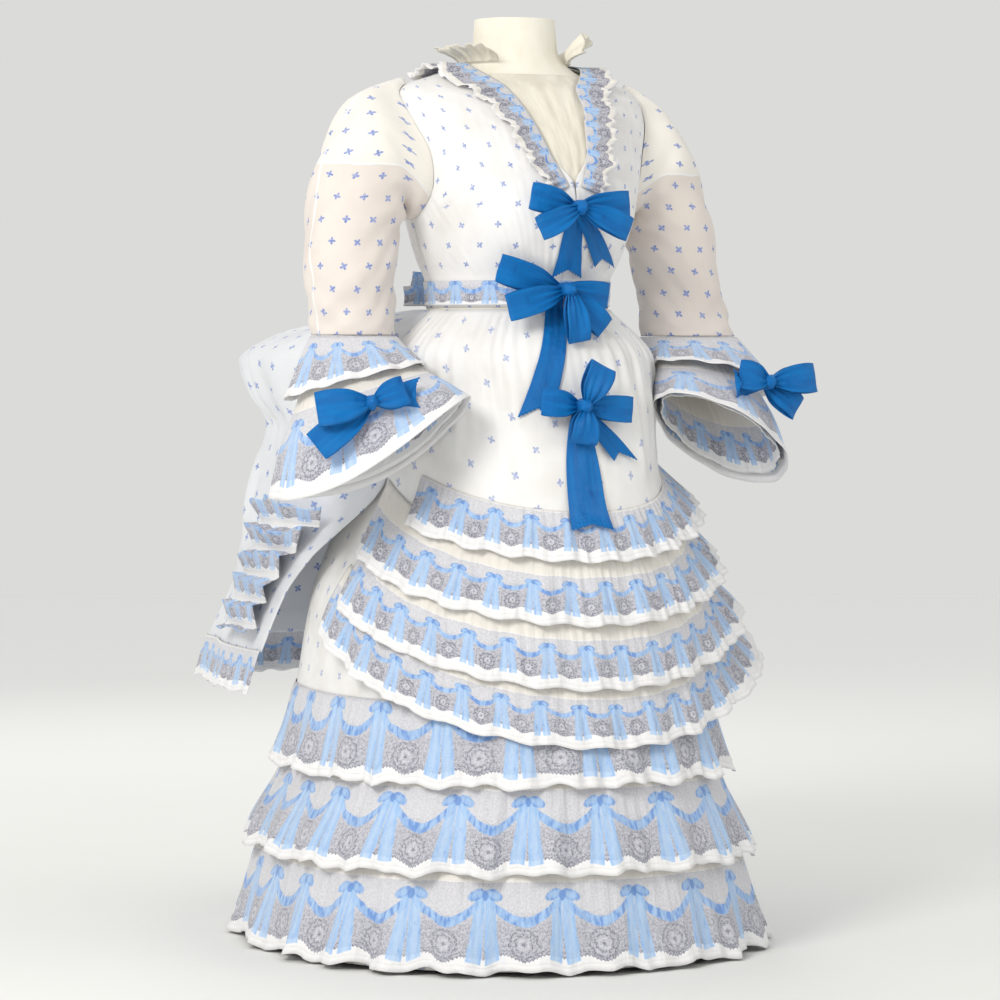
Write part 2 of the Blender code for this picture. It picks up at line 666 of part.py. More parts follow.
def ribbons():
    """Belt, back sash bow, three bows down the front and one on each bell."""
    grid = [[skin(BODY, a, z, LAY) for a in np.arange(0, 360, STEP)] for z in (BELT_TOP - 0.5, WAIST + 3)]
    piece("belt", [sheet(grid, ring=True)], "printed_organdy")
    right, up, out = np.array([1.0, 0, 0]), np.array([0, 0, 1.0]), np.array([0, -1.0, 0])
    for name, (table, x, z, low, loops, tails) in FRONT_BOWS.items():
        frame = (on_front(table, x, z, 0), right, up, out)
        solids = [bow_loop(frame, loop, low + 6) for loop in loops]
        solids.append(bow_knot(frame, low, low + 7 + LOOP_DEEP * (1 + max(loop.layer for loop in loops))))
        for tail in tails:
            grid = []
            for across, height, wide, lift in tail.points:
                own = BODY if height > WAIST else SKIRT
                grid.append([on_front(own, across + wide * k / 2, height, lift) for k in (-1, 0, 1)])
            solids.append(sheet(forked(grid, tail.fork)))
        joined(name, solids, "blue_taffeta")
    frame = (skin(BODY, 180, 948), -right, up, -out)
    solids = [bow_loop(frame, loop, 5.0) for loop in SASH_LOOPS]
    solids.append(bow_knot(frame, 3.6, 38))
    joined("sash_bow", solids, "printed_organdy")
    for side, (origin, away, gap, loops, tails) in BELL_BOWS.items():
        away = np.array(away) / np.linalg.norm(away)
        across = np.cross(up, away)
        across /= np.linalg.norm(across)
        frame = (np.array(origin, float), across, np.cross(away, across), away)
        solids = [bow_loop(frame, loop, 6) for loop in loops]
        solids.append(bow_knot(frame, 0, 6 + LOOP_DEEP * 2))
        for tail in tails:
            grid = [[frame[0] + frame[1] * a + frame[2] * (b + wide * k / 2) + away * lift for k in (-1, 0, 1)]
                    for a, b, wide, lift in tail.points]
            solids.append(sheet(forked(grid, tail.fork)))
        hosts = [bpy.data.objects[n + side].data for n in ("sleeve_bell_", "elbow_frill_")]
        joined("bell_bow_" + side, seated(solids, away, hosts, gap), "blue_taffeta")


def clear_scene():
    """Leaves the scene with no objects."""
    for thing in list(bpy.data.objects):
        bpy.data.objects.remove(thing, do_unlink=True)


def main():
    """Builds every piece."""
    clear_scene()
    dress_form()
    bodice()
    neck()
    sleeves()
    skirt()
    ribbons()


main()
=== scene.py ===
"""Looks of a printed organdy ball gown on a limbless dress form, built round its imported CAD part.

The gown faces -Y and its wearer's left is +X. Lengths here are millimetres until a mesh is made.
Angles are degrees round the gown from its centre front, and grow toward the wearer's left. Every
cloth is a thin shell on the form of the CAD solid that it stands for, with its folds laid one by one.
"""

import logging
import math
from collections.abc import Callable, Iterable, Sequence
from dataclasses import dataclass, field
from enum import Enum

import bmesh
import bpy
import numpy as np
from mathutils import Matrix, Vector


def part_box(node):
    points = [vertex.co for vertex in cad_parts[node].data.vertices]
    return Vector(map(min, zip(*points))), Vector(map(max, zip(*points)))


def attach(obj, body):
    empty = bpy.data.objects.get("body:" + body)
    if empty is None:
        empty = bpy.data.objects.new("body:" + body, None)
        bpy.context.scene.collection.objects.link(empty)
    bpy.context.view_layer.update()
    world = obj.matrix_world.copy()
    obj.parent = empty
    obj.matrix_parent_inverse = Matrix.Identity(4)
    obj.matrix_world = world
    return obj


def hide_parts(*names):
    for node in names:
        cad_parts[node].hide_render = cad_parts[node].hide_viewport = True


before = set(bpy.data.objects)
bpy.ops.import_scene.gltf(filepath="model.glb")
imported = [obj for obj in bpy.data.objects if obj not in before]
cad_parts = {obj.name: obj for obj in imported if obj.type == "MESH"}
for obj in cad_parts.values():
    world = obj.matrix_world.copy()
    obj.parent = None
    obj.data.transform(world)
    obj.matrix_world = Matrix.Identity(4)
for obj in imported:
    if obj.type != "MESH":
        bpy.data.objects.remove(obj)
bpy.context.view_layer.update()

MM = 0.001
CLOTH = 0.8            # thickness of a shown cloth
LAY = 1.6              # from a cloth's back to the back of the one that lies on it
WAIST = 925.0
SKIRT_TOP = 923.0
NECK_CUT = 1346.0
ACROSS_MARKS = 241     # places at which a cloth's width is measured
DOWN_MARKS = 61        # places at which its length is measured
COLUMN_MARKS = 33      # columns in which a shaped cloth is measured
SHEET_MARGIN = 1.001   # a sheet's width over its area, where folds make the area the larger
REPEAT = 118           # width of the wide print's repeat, to which the print's other sizes belong
UV_NAME = "cloth"

Array = np.ndarray
Place = Callable[[Array, Array], Array]
Colour = tuple[float, float, float]
Grid = tuple[int, int]
log = logging.getLogger("gown")


class Side(Enum):
    """One side of the wearer, with the sign of its X."""

    RIGHT = -1
    LEFT = 1

    @property
    def word(self) -> str:
        """The side's name in lower case."""
        return self.name.lower()


class Hold(Enum):
    """How a sheet of cloth is held."""

    HUNG = "hung"
    GATHERED = "gathered"
    FOLDED = "folded"
    STRETCHED = "stretched"


class Slot(Enum):
    """The record's material slots, as far as a shown piece names one."""

    SPRIGGED = "sprigged_organdy"
    PRINTED = "printed_organdy"
    SLEEVE = "sleeve_organdy"
    TULLE = "cream_tulle"
    TAFFETA = "blue_taffeta"
    FORM = "form_cover"


# Numbers and curves

def srgb(red: int, green: int, blue: int) -> Colour:
    """Linear colour of three screen values from 0 to 255."""
    return tuple((c / 255) ** 2.2 for c in (red, green, blue))


def mix(a: Array | float, b: Array | float, t: Array | float) -> Array | float:
    """The value t of the way from a to b."""
    return a + (b - a) * t


def ease(low: float, high: float, value: Array) -> Array:
    """Smooth rise from 0 at low to 1 at high."""
    t = np.clip((np.asarray(value, float) - low) / (high - low), 0, 1)
    return t * t * (3 - 2 * t)


def smooth(x: Array, knots: Sequence[float], values: Sequence[float]) -> Array:
    """A smooth curve through points that never overshoots them.

    Args:
        x: where to read the curve.
        knots: rising places of the points.
        values: heights of the points.

    Returns:
        The curve's height at each x, held level past both ends.
    """
    knots, values = np.asarray(knots, float), np.asarray(values, float)
    steps = np.diff(knots)
    rises = np.diff(values) / steps
    slopes = np.zeros(len(knots))
    same = rises[:-1] * rises[1:] > 0
    total = np.where(same, rises[:-1] + rises[1:], 1.0)
    slopes[1:-1] = np.where(same, 2 * rises[:-1] * rises[1:] / total, 0.0)
    slopes[0], slopes[-1] = rises[0], rises[-1]
    x = np.clip(np.asarray(x, float), knots[0], knots[-1])
    at = np.clip(np.searchsorted(knots, x, side="right") - 1, 0, len(steps) - 1)
    t = (x - knots[at]) / steps[at]
    square, cube = t * t, t * t * t
    return (values[at] * (2 * cube - 3 * square + 1) + values[at + 1] * (3 * square - 2 * cube)
            + steps[at] * (slopes[at] * (cube - 2 * square + t) + slopes[at + 1] * (cube - square)))


def gather(angle: Array, folds: float, lean: float) -> Array:
    """Uneven gathers between 0 and 1 round a full turn, as the CAD solids have them.

    Args:
        angle: degrees from the centre front.
        folds: how many gathers go round.
        lean: a number that sets this cloth apart from the others.

    Returns:
        How far out each place is, from 0 to 1.
    """
    turn = np.radians(angle)
    phase = folds * turn + lean + 0.8 * np.sin(2 * turn + lean) + 0.35 * np.sin(5 * turn + 2 * lean)
    size = 0.75 + 0.25 * np.sin(3 * turn + 1.7 * lean)
    return 0.5 + 0.5 * size * np.sin(phase)


def rumple(angle: Array, down: Array, lean: float) -> Array:
    """Small uneven ripples between -1 and 1 that wander as they go down a cloth.

    Args:
        angle: degrees from the centre front.
        down: shares from head to hem.
        lean: a number that sets this cloth apart from the others.

    Returns:
        Heights from -1 to 1.
    """
    turn = np.radians(angle)
    return (0.5 * np.sin(41 * turn + 2.2 * np.sin(7 * turn + lean) + 1.4 * down + lean)
            + 0.3 * np.sin(67 * turn + 1.7 * np.sin(11 * turn) - 2.1 * down + 2 * lean)
            + 0.2 * np.sin(23 * turn + 4.0 * down + 3 * lean))


# Forms that the cloth lies on

@dataclass(frozen=True)
class Ring:
    """Half sizes of a level oval: to the side, to the front and to the back."""

    height: float
    side: float
    front: float
    back: float
    room: float = 0.0


@dataclass(frozen=True)
class Form:
    """A smooth figure through level ovals."""

    rings: tuple[Ring, ...]

    def size(self, height: Array, name: str) -> Array:
        """One of the ovals' sizes at a height."""
        rows = sorted(self.rings, key=lambda ring: ring.height)
        return smooth(height, [r.height for r in rows], [getattr(r, name) for r in rows])

    def point(self, angle: Array, height: Array, out: Array = 0.0) -> Array:
        """Points on the figure, moved level outward.

        Args:
            angle: degrees from the centre front.
            height: height above the floor.
            out: distance from the figure.

        Returns:
            An array of points, with the shape of the arguments and one more axis.
        """
        angle, height, out = np.broadcast_arrays(np.asarray(angle, float), np.asarray(height, float),
                                                 np.asarray(out, float))
        turn = np.radians(angle)
        side = self.size(height, "side")
        depth = np.where(np.cos(turn) > 0, self.size(height, "front"), self.size(height, "back"))
        across, ahead = np.sin(turn) / side, -np.cos(turn) / depth
        length = np.hypot(across, ahead)
        return np.stack([side * np.sin(turn) + out * across / length,
                         -depth * np.cos(turn) + out * ahead / length, height], axis=-1)

    def raised(self, angle: Array, height: Array, out: Array) -> Array:
        """Points moved off the figure along its own normal.

        Args:
            angle: degrees from the centre front.
            height: heights above the floor.
            out: distance outward.

        Returns:
            Points in millimetres.
        """
        base = self.point(angle, height)
        along = self.point(np.asarray(angle) + 1, height) - self.point(np.asarray(angle) - 1, height)
        up = self.point(angle, np.asarray(height) + 3) - self.point(angle, np.asarray(height) - 3)
        away = np.cross(along, up)
        away /= np.linalg.norm(away, axis=-1, keepdims=True)
        return base + away * np.asarray(out, float)[..., None]


BODY = Form((
    Ring(WAIST, 134, 138, 106, 0.5), Ring(963, 136, 142, 110, 2.0), Ring(1000, 150, 160, 120, 6.0),
    Ring(1060, 168, 187, 132, 7.0), Ring(1100, 178, 180, 140, 7.0), Ring(1150, 191, 160, 145, 9.0),
    Ring(1200, 202, 130, 140, 12.0), Ring(1230, 198, 105, 122, 12.0), Ring(1243, 186, 93, 108, 9.0),
    Ring(1262, 130, 80, 92, 6.5), Ring(1280, 84, 70, 78, 5.0), Ring(1300, 65, 60, 66, 2.0),
    Ring(NECK_CUT, 61, 57, 63, 2.0),
))
SKIRT = Form((
    Ring(6, 343, 332, 558), Ring(150, 323, 317, 532), Ring(255, 292, 298, 480), Ring(372, 280, 276, 452),
    Ring(500, 262, 254, 420), Ring(600, 226, 234, 385), Ring(700, 203, 216, 345), Ring(850, 198, 180, 215),
    Ring(WAIST, 134, 138, 106),
))


@dataclass(frozen=True)
class Crease:
    """A soft trough, or a ridge where depth is negative, that runs down a cloth.

    Its angle drifts as it goes down, and its width is in degrees.
    """

    angle: float
    drift: float
    top: float
    bottom: float
    width: float
    depth: float

    def relief(self, angle: Array, height: Array) -> Array:
        """How far it moves the cloth outward.

        Args:
            angle: degrees from the centre front.
            height: heights above the floor.

        Returns:
            Millimetres outward.
        """
        run = np.clip((self.top - height) / (self.top - self.bottom), 0, 1)
        across = (angle - self.angle - self.drift * run + 180) % 360 - 180
        swell = np.sin(math.pi * run) ** 0.8
        return -self.depth * swell * np.exp(-(across / self.width) ** 2)


def creased(creases: Iterable[Crease], angle: Array, height: Array) -> Array:
    """All of the creases together.

    Args:
        creases: the creases.
        angle: degrees from the centre front.
        height: heights above the floor.

    Returns:
        Millimetres outward.
    """
    total = np.zeros(np.broadcast(angle, height).shape)
    for crease in creases:
        total = total + crease.relief(angle, height)
    return total


# Cloth

@dataclass
class Cloth:
    """One sheet of cloth, placed by a function of its two measures.

    The first measure goes from 0 to 1 along the cloth, and the second from 0 at its head to 1 at
    its hem. A closed cloth is sewn to itself along its first and last columns. A shaped cloth is
    measured column by column, because its columns differ in length. On a ribbon the print runs
    along the second measure.
    """

    name: str
    place: Place
    columns: int
    rows: int
    closed: bool = False
    rises: Place | None = None
    shaped: bool = False
    ribbon: bool = False
    width: float = 0.0
    length: float = 0.0
    area: float = 0.0
    ruler: Array | None = None

    def add_to(self, mesh: bmesh.types.BMesh) -> list[bmesh.types.BMVert]:
        """Adds the sheet to a mesh, with its flat measures as UV.

        Args:
            mesh: the mesh that takes the sheet.

        Returns:
            The new vertices.
        """
        start = set(mesh.verts)
        made = bmesh.ops.create_grid(mesh, x_segments=self.columns, y_segments=self.rows, size=0.5)
        verts = [v for v in made["verts"] if v not in start]
        layer = mesh.loops.layers.uv.get(UV_NAME) or mesh.loops.layers.uv.new(UV_NAME)
        flat = np.array([v.co[:2] for v in verts]) + (0.5, 0.5)
        across, down = flat[:, 0], 1 - flat[:, 1]
        self.measure()
        chart = {v: (a * MM, b * MM) for v, a, b in zip(verts, *self.flat(across, down))}
        faces = {face for v in verts for face in v.link_faces}
        for face in faces:
            for loop in face.loops:
                loop[layer].uv = chart[loop.vert]
        for vert, point in zip(verts, self.place(across, down) * MM):
            vert.co = point
        if self.closed:
            ends = [v for v, a in zip(verts, across) if a < 1e-4 or a > 1 - 1e-4]
            bmesh.ops.remove_doubles(mesh, verts=ends, dist=0.2 * MM)
            verts = [v for v in verts if v.is_valid]
        faces = list({face for v in verts for face in v.link_faces})
        mesh.normal_update()
        if self.inward(faces):
            bmesh.ops.reverse_faces(mesh, faces=faces)
        self.area = sum(face.calc_area() for face in faces)
        return verts

    def flat(self, across: Array, down: Array) -> tuple[Array, Array]:
        """Millimetres along the cloth and above its hem, before it was hung.

        Args:
            across: shares along the cloth.
            down: shares from head to hem.

        Returns:
            Both measures of each place.
        """
        if self.ribbon:
            return (1 - down) * self.length, across * self.width
        along = np.interp(across, np.linspace(0, 1, ACROSS_MARKS), self.ruler)
        if self.rises:
            return along, self.rises(across, down)
        if not self.shaped:
            return along, (1 - down) * self.length
        shares, steps = np.linspace(0, 1, COLUMN_MARKS), np.linspace(0, 1, DOWN_MARKS)
        spots = self.place(np.repeat(shares, DOWN_MARKS), np.tile(steps, COLUMN_MARKS))
        spots = spots.reshape(COLUMN_MARKS, DOWN_MARKS, 3)
        lengths = np.linalg.norm(np.diff(spots, axis=1), axis=2)[:, ::-1].cumsum(axis=1)[:, ::-1]
        lengths = np.concatenate([lengths, np.zeros((COLUMN_MARKS, 1))], axis=1)
        column = np.clip((across * (COLUMN_MARKS - 1)).astype(int), 0, COLUMN_MARKS - 2)
        step = np.clip((down * (DOWN_MARKS - 1)).astype(int), 0, DOWN_MARKS - 2)
        a, b = across * (COLUMN_MARKS - 1) - column, down * (DOWN_MARKS - 1) - step
        high = mix(lengths[column, step], lengths[column + 1, step], a)
        low = mix(lengths[column, step + 1], lengths[column + 1, step + 1], a)
        return along, mix(high, low, b)

    def measure(self) -> None:
        """Works out the cloth's flat width and length from its middle lines."""
        line = self.place(np.linspace(0, 1, ACROSS_MARKS), np.full(ACROSS_MARKS, 0.7))
        self.ruler = np.concatenate([[0], np.cumsum(np.linalg.norm(np.diff(line, axis=0), axis=1))])
        self.width = float(self.ruler[-1])
        steps = np.linspace(0, 1, DOWN_MARKS)
        columns = [self.place(np.full(DOWN_MARKS, share), steps) for share in (0.1, 0.3, 0.5, 0.7, 0.9)]
        lengths = [np.linalg.norm(np.diff(points, axis=0), axis=1).sum() for points in columns]
        self.length = float(np.mean(lengths))

    def inward(self, faces: list[bmesh.types.BMFace]) -> bool:
        """Whether most of the sheet faces the middle of the tube or figure that it goes round.

        Args:
            faces: the sheet's faces.

        Returns:
            True where the faces have to be turned.
        """
        if self.ribbon:
            return False
        total = 0.0
        middle = Vector((0, 0, 0))
        if self.closed:
            for face in faces:
                middle += face.calc_center_median() / len(faces)
        for face in faces:
            away = face.calc_center_median() - middle
            away.z = 0
            total += face.normal.dot(away) * face.calc_area()
        return total < 0

    def hang(self, finish: bpy.types.Material, slot: Slot, hold: Hold, rests_on: Sequence[str]) -> None:
        """Shows the sheet in place of the CAD node of its name, and works out what it was cut from.

        Args:
            finish: its material.
            slot: the record's slot that it takes its finish from.
            hold: how it is held.
            rests_on: the nodes that it hangs from or lies on.
        """
        mesh = bmesh.new()
        self.add_to(mesh)
        piece = Piece(f"{self.name}_cloth", mesh, [self], CLOTH)
        piece.shown(self.name, finish, slot)
        piece.declared(hold, rests_on)


@dataclass
class Piece:
    """One shown object on its way to the scene, with a wall behind its face where it has a thickness."""

    name: str
    mesh: bmesh.types.BMesh
    cloths: list[Cloth] = field(default_factory=list)
    thick: float = 0.0
    made: bpy.types.Object | None = None

    def shown(self, stands_for: str, finish: bpy.types.Material, slot: Slot) -> None:
        """Puts the piece in the scene on the gown's one body.

        Args:
            stands_for: the CAD node that it replaces.
            finish: its material.
            slot: not used.
        """
        data = bpy.data.meshes.new(self.name)
        self.mesh.to_mesh(data)
        self.mesh.free()
        data.materials.append(finish)
        data.polygons.foreach_set("use_smooth", [True] * len(data.polygons))
        made = bpy.data.objects.new(self.name, data)
        bpy.context.scene.collection.objects.link(made)
        if self.thick:
            wall = made.modifiers.new("wall", "SOLIDIFY")
            wall.thickness = self.thick * MM
            wall.offset = -1
        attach(made, "root")
        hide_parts(stands_for)
        self.made = made
        log.info("%s: %d faces", self.name, len(data.polygons))

    def declared(self, hold: Hold, rests_on: Sequence[str]) -> None:
        """Works out the flat sheet that the piece was cut from, without keeping it.

        Args:
            hold: not used.
            rests_on: not used.
        """
        area = sum(cloth.area for cloth in self.cloths)
        width = max(cloth.width for cloth in self.cloths) * MM
        length = sum(cloth.length for cloth in self.cloths) * MM
        if area > width * length:
            width = area / length * SHEET_MARGIN


# Finishes

class Value:
    """A number that changes over a surface: a node's output, with Python's operators."""

    def __init__(self, finish: "Finish", socket: bpy.types.NodeSocket) -> None:
        """Wraps a node's output socket."""
        self.finish = finish
        self.socket = socket

    def math(self, operation: str, *others: "Value | float") -> "Value":
        """The result of a Math node on this value and others."""
        inputs = {i + 1: other for i, other in enumerate(others)}
        return self.finish.node("Math", {"operation": operation}, {0: self, **inputs})

    def __add__(self, other: "Value | float") -> "Value":
        """Sum."""
        return self.math("ADD", other)

    __radd__ = __add__

    def __sub__(self, other: "Value | float") -> "Value":
        """Difference."""
        return self.math("SUBTRACT", other)

    def __rsub__(self, other: float) -> "Value":
        """Difference from a number."""
        return (self * -1) + other

    def __mul__(self, other: "Value | float") -> "Value":
        """Product."""
        return self.math("MULTIPLY", other)

    __rmul__ = __mul__

    def __truediv__(self, other: "Value | float") -> "Value":
        """Quotient."""
        return self.math("DIVIDE", other)

    def __pow__(self, other: float) -> "Value":
        """Power."""
        return self.math("POWER", other)

    def __abs__(self) -> "Value":
        """Size without sign."""
        return self.math("ABSOLUTE")

    def part(self) -> "Value":
        """What is left above the whole number below."""
        return self.math("FRACT")

    def whole(self) -> "Value":
        """The whole number below."""
        return self.math("FLOOR")

    def sine(self) -> "Value":
        """Sine of an angle in radians."""
        return self.math("SINE")

    def most(self, other: "Value | float") -> "Value":
        """The larger of two."""
        return self.math("MAXIMUM", other)

    def least(self, other: "Value | float") -> "Value":
        """The smaller of two."""
        return self.math("MINIMUM", other)

    def rise(self, low: float, high: float) -> "Value":
        """Smooth rise from 0 at low to 1 at high."""
        return self.finish.node("MapRange", {"interpolation_type": "SMOOTHSTEP"},
                                {0: self, 1: low, 2: high, 3: 0.0, 4: 1.0})

    def band(self, middle: "Value | float", half: float, soft: float) -> "Value":
        """1 within half of the middle, falling softly to 0."""
        return 1 - abs(self - middle).rise(half - soft / 2, half + soft / 2)


@dataclass
class Finish:
    """A material built from nodes. Each finish of the gown is a kind of this."""

    name: str
    tree: bpy.types.NodeTree | None = None
    shader: bpy.types.Node | None = None

    def node(self, kind: str, settings: dict, inputs: dict, output: int | str = 0) -> Value:
        """Adds a node.

        Args:
            kind: the shader node's type.
            settings: its own properties, set first.
            inputs: values or links, by the socket's name or place.
            output: which output to return.

        Returns:
            That output as a value.
        """
        made = self.tree.nodes.new("ShaderNode" + kind)
        for key, value in settings.items():
            setattr(made, key, value)
        for key, value in inputs.items():
            if isinstance(value, Value):
                self.tree.links.new(value.socket, made.inputs[key])
            else:
                made.inputs[key].default_value = value
        return Value(self, made.outputs[output])

    def chart(self) -> tuple[Value, Value, Value]:
        """The cloth's flat measures: the UV itself, millimetres along it and millimetres above its hem.

        Returns:
            The three as values.
        """
        place = self.node("UVMap", {"uv_map": UV_NAME}, {})
        along = self.node("SeparateXYZ", {}, {0: place}, 0)
        up = self.node("SeparateXYZ", {}, {0: place}, 1)
        return place, along * 1000, up * 1000

    def noise(self, place: Value, size: float, detail: float = 2.0, stretch: tuple = (1, 1, 1)) -> Value:
        """Cloudy values from 0 to 1 whose clouds are about size millimetres across.

        Args:
            place: the places at which it is read.
            size: the width of a cloud, in millimetres.
            detail: how many finer layers are laid over it.
            stretch: factors on the three axes.

        Returns:
            The values.
        """
        scaled = self.node("Mapping", {}, {0: place, 3: stretch})
        sizes = {"Vector": scaled, "Scale": 1000 / size, "Detail": detail}
        return self.node("TexNoise", {}, sizes)

    def blend(self, factor: Value | float, under: "Value | Colour", over: "Value | Colour") -> Value:
        """One colour laid over another by a factor.

        Args:
            factor: how much of the upper colour shows.
            under: the lower colour.
            over: the upper colour.

        Returns:
            The mixed colour.
        """
        inputs = {0: factor}
        for key, colour in ((6, under), (7, over)):
            inputs[key] = colour if isinstance(colour, Value) else (*colour, 1.0)
        return self.node("Mix", {"data_type": "RGBA"}, inputs, 2)

    def weave(self, along: Value, up: Value, pitch: float) -> Value:
        """Height of a plain weave with threads a pitch apart."""
        step = 2 * math.pi / pitch
        return ((along * step).sine() * (up * step).sine()) * 0.5 + 0.5

    def relief(self, height: Value, strength: float, distance: float) -> None:
        """Feeds a height in to the shader's normal.

        Args:
            height: the height, from 0 to 1.
            strength: how much of it is felt.
            distance: its depth, in metres.
        """
        sizes = {"Strength": strength, "Distance": distance, "Height": height}
        bump = self.node("Bump", {}, sizes)
        self.tree.links.new(bump.socket, self.shader.inputs["Normal"])

    def make(self) -> bpy.types.Material:
        """Builds the material.

        Returns:
            The material.
        """
        made = bpy.data.materials.new(self.name)
        made.use_nodes = True
        self.tree = made.node_tree
        self.shader = self.tree.nodes["Principled BSDF"]
        self.dress()
        return made

    def settle(self, **values: float | tuple) -> None:
        """Sets what is the same all over the surface."""
        for key, value in values.items():
            self.shader.inputs[key.replace("_", " ")].default_value = value

    def feed(self, socket: str, value: Value) -> None:
        """Links a value to one of the shader's sockets."""
        self.tree.links.new(value.socket, self.shader.inputs[socket])

    def dress(self) -> None:
        """Joins the finish's own nodes to the shader."""
        raise NotImplementedError


CLOTH_WHITE = srgb(244, 243, 243)
IVORY = srgb(240, 235, 226)
PEACH = srgb(230, 221, 213)
SPRIG_BLUE = srgb(116, 142, 206)
SPRIG_DARK = srgb(82, 106, 180)
RIBBON_LIGHT = srgb(174, 208, 246)
RIBBON_MID = srgb(130, 178, 234)
RIBBON_DARK = srgb(88, 138, 212)
LACE_PALE = srgb(200, 200, 210)
LACE_GREY = srgb(146, 146, 160)
LACE_DARK = srgb(92, 90, 104)
TULLE = srgb(242, 236, 220)
TAFFETA = srgb(0, 104, 178)
# painted shade: the darker blue laid over the taffeta's crumples
TAFFETA_PAINTED_SHADE = srgb(0, 54, 128)
FORM_CREAM = srgb(240, 236, 222)
WOOD_LIGHT = srgb(150, 104, 66)
WOOD_DARK = srgb(92, 58, 34)
RUST = srgb(206, 160, 110)


@dataclass
class Organdy(Finish):
    """Crisp sheer cotton, with a small blue sprig in a half drop, in millimetres."""

    ground: Colour = IVORY
    shade: Colour = srgb(216, 212, 206)
    column: float = 44.0
    drop: float = 60.0
    sprig: float = 7.0
    cap: float = 0.0
    seam: float = -1.0
    strength: float = 0.8

    def sprigs(self, along: Value, up: Value) -> Value:
        """Where the sprigs are: two straight grids, one of them half a step across and down.

        Args:
            along: millimetres along the cloth.
            up: millimetres above its hem.

        Returns:
            1 on a sprig and 0 off it.
        """
        total: Value | float = 0.0
        for shift in (0.0, 0.5):
            column, row = along / self.column + shift, up / self.drop + shift
            turn = ((column.whole() * 12.9 + row.whole() * 78.2).sine() * 43.7).part() * 3.1
            across = (column.part() - 0.5) * self.column
            high = (row.part() - 0.5) * self.drop
            reach = (across * across + high * high) ** 0.5
            angle = high.math("ARCTAN2", across)
            petals = abs((angle * 2 + turn).sine())
            leaf = 1 - (reach / (petals * 0.75 + 0.25)).rise(self.sprig * 0.75, self.sprig)
            total = leaf if isinstance(total, float) else total.most(leaf)
        return total

    def dress(self) -> None:
        """Ivory cloth with soft rumples, a fine weave and broken blue sprigs."""
        place, along, up = self.chart()
        cloud = self.noise(place, 90, 3)
        fine = self.noise(place, 5, 2)
        colour = self.blend(cloud.rise(0.35, 0.75) * 0.5, self.ground, self.shade)
        if self.cap:
            colour = self.blend(up.rise(self.cap - 3, self.cap + 3), colour, IVORY)
        sprigs = self.sprigs(along + (fine - 0.5) * 3, up + (cloud - 0.5) * 14)
        colour = self.blend(sprigs * (fine.rise(0.2, 0.45) * self.strength), colour, SPRIG_BLUE)
        colour = self.blend(sprigs * fine.rise(0.5, 0.62) * (self.strength * 0.6), colour, SPRIG_DARK)
        seam: Value | float = 0.0
        if self.seam >= 0:
            seam = along.band(self.seam, 2.2, 1.0)
            if self.cap:
                seam = seam.most(up.band(self.cap, 2.0, 1.0))
            colour = self.blend(seam * 0.75, colour, CLOTH_WHITE)
        self.feed("Base Color", colour)
        self.feed("Roughness", fine * 0.12 + 0.68)
        self.settle(Sheen_Weight=0.25, Sheen_Roughness=0.5, Specular_IOR_Level=0.3)
        height = cloud * 0.5 + self.weave(along, up, 1.3) * 0.06 + self.noise(place, 22, 3) * 0.3
        self.relief(height + seam * 0.15 if isinstance(seam, Value) else height, 0.55, 0.006)


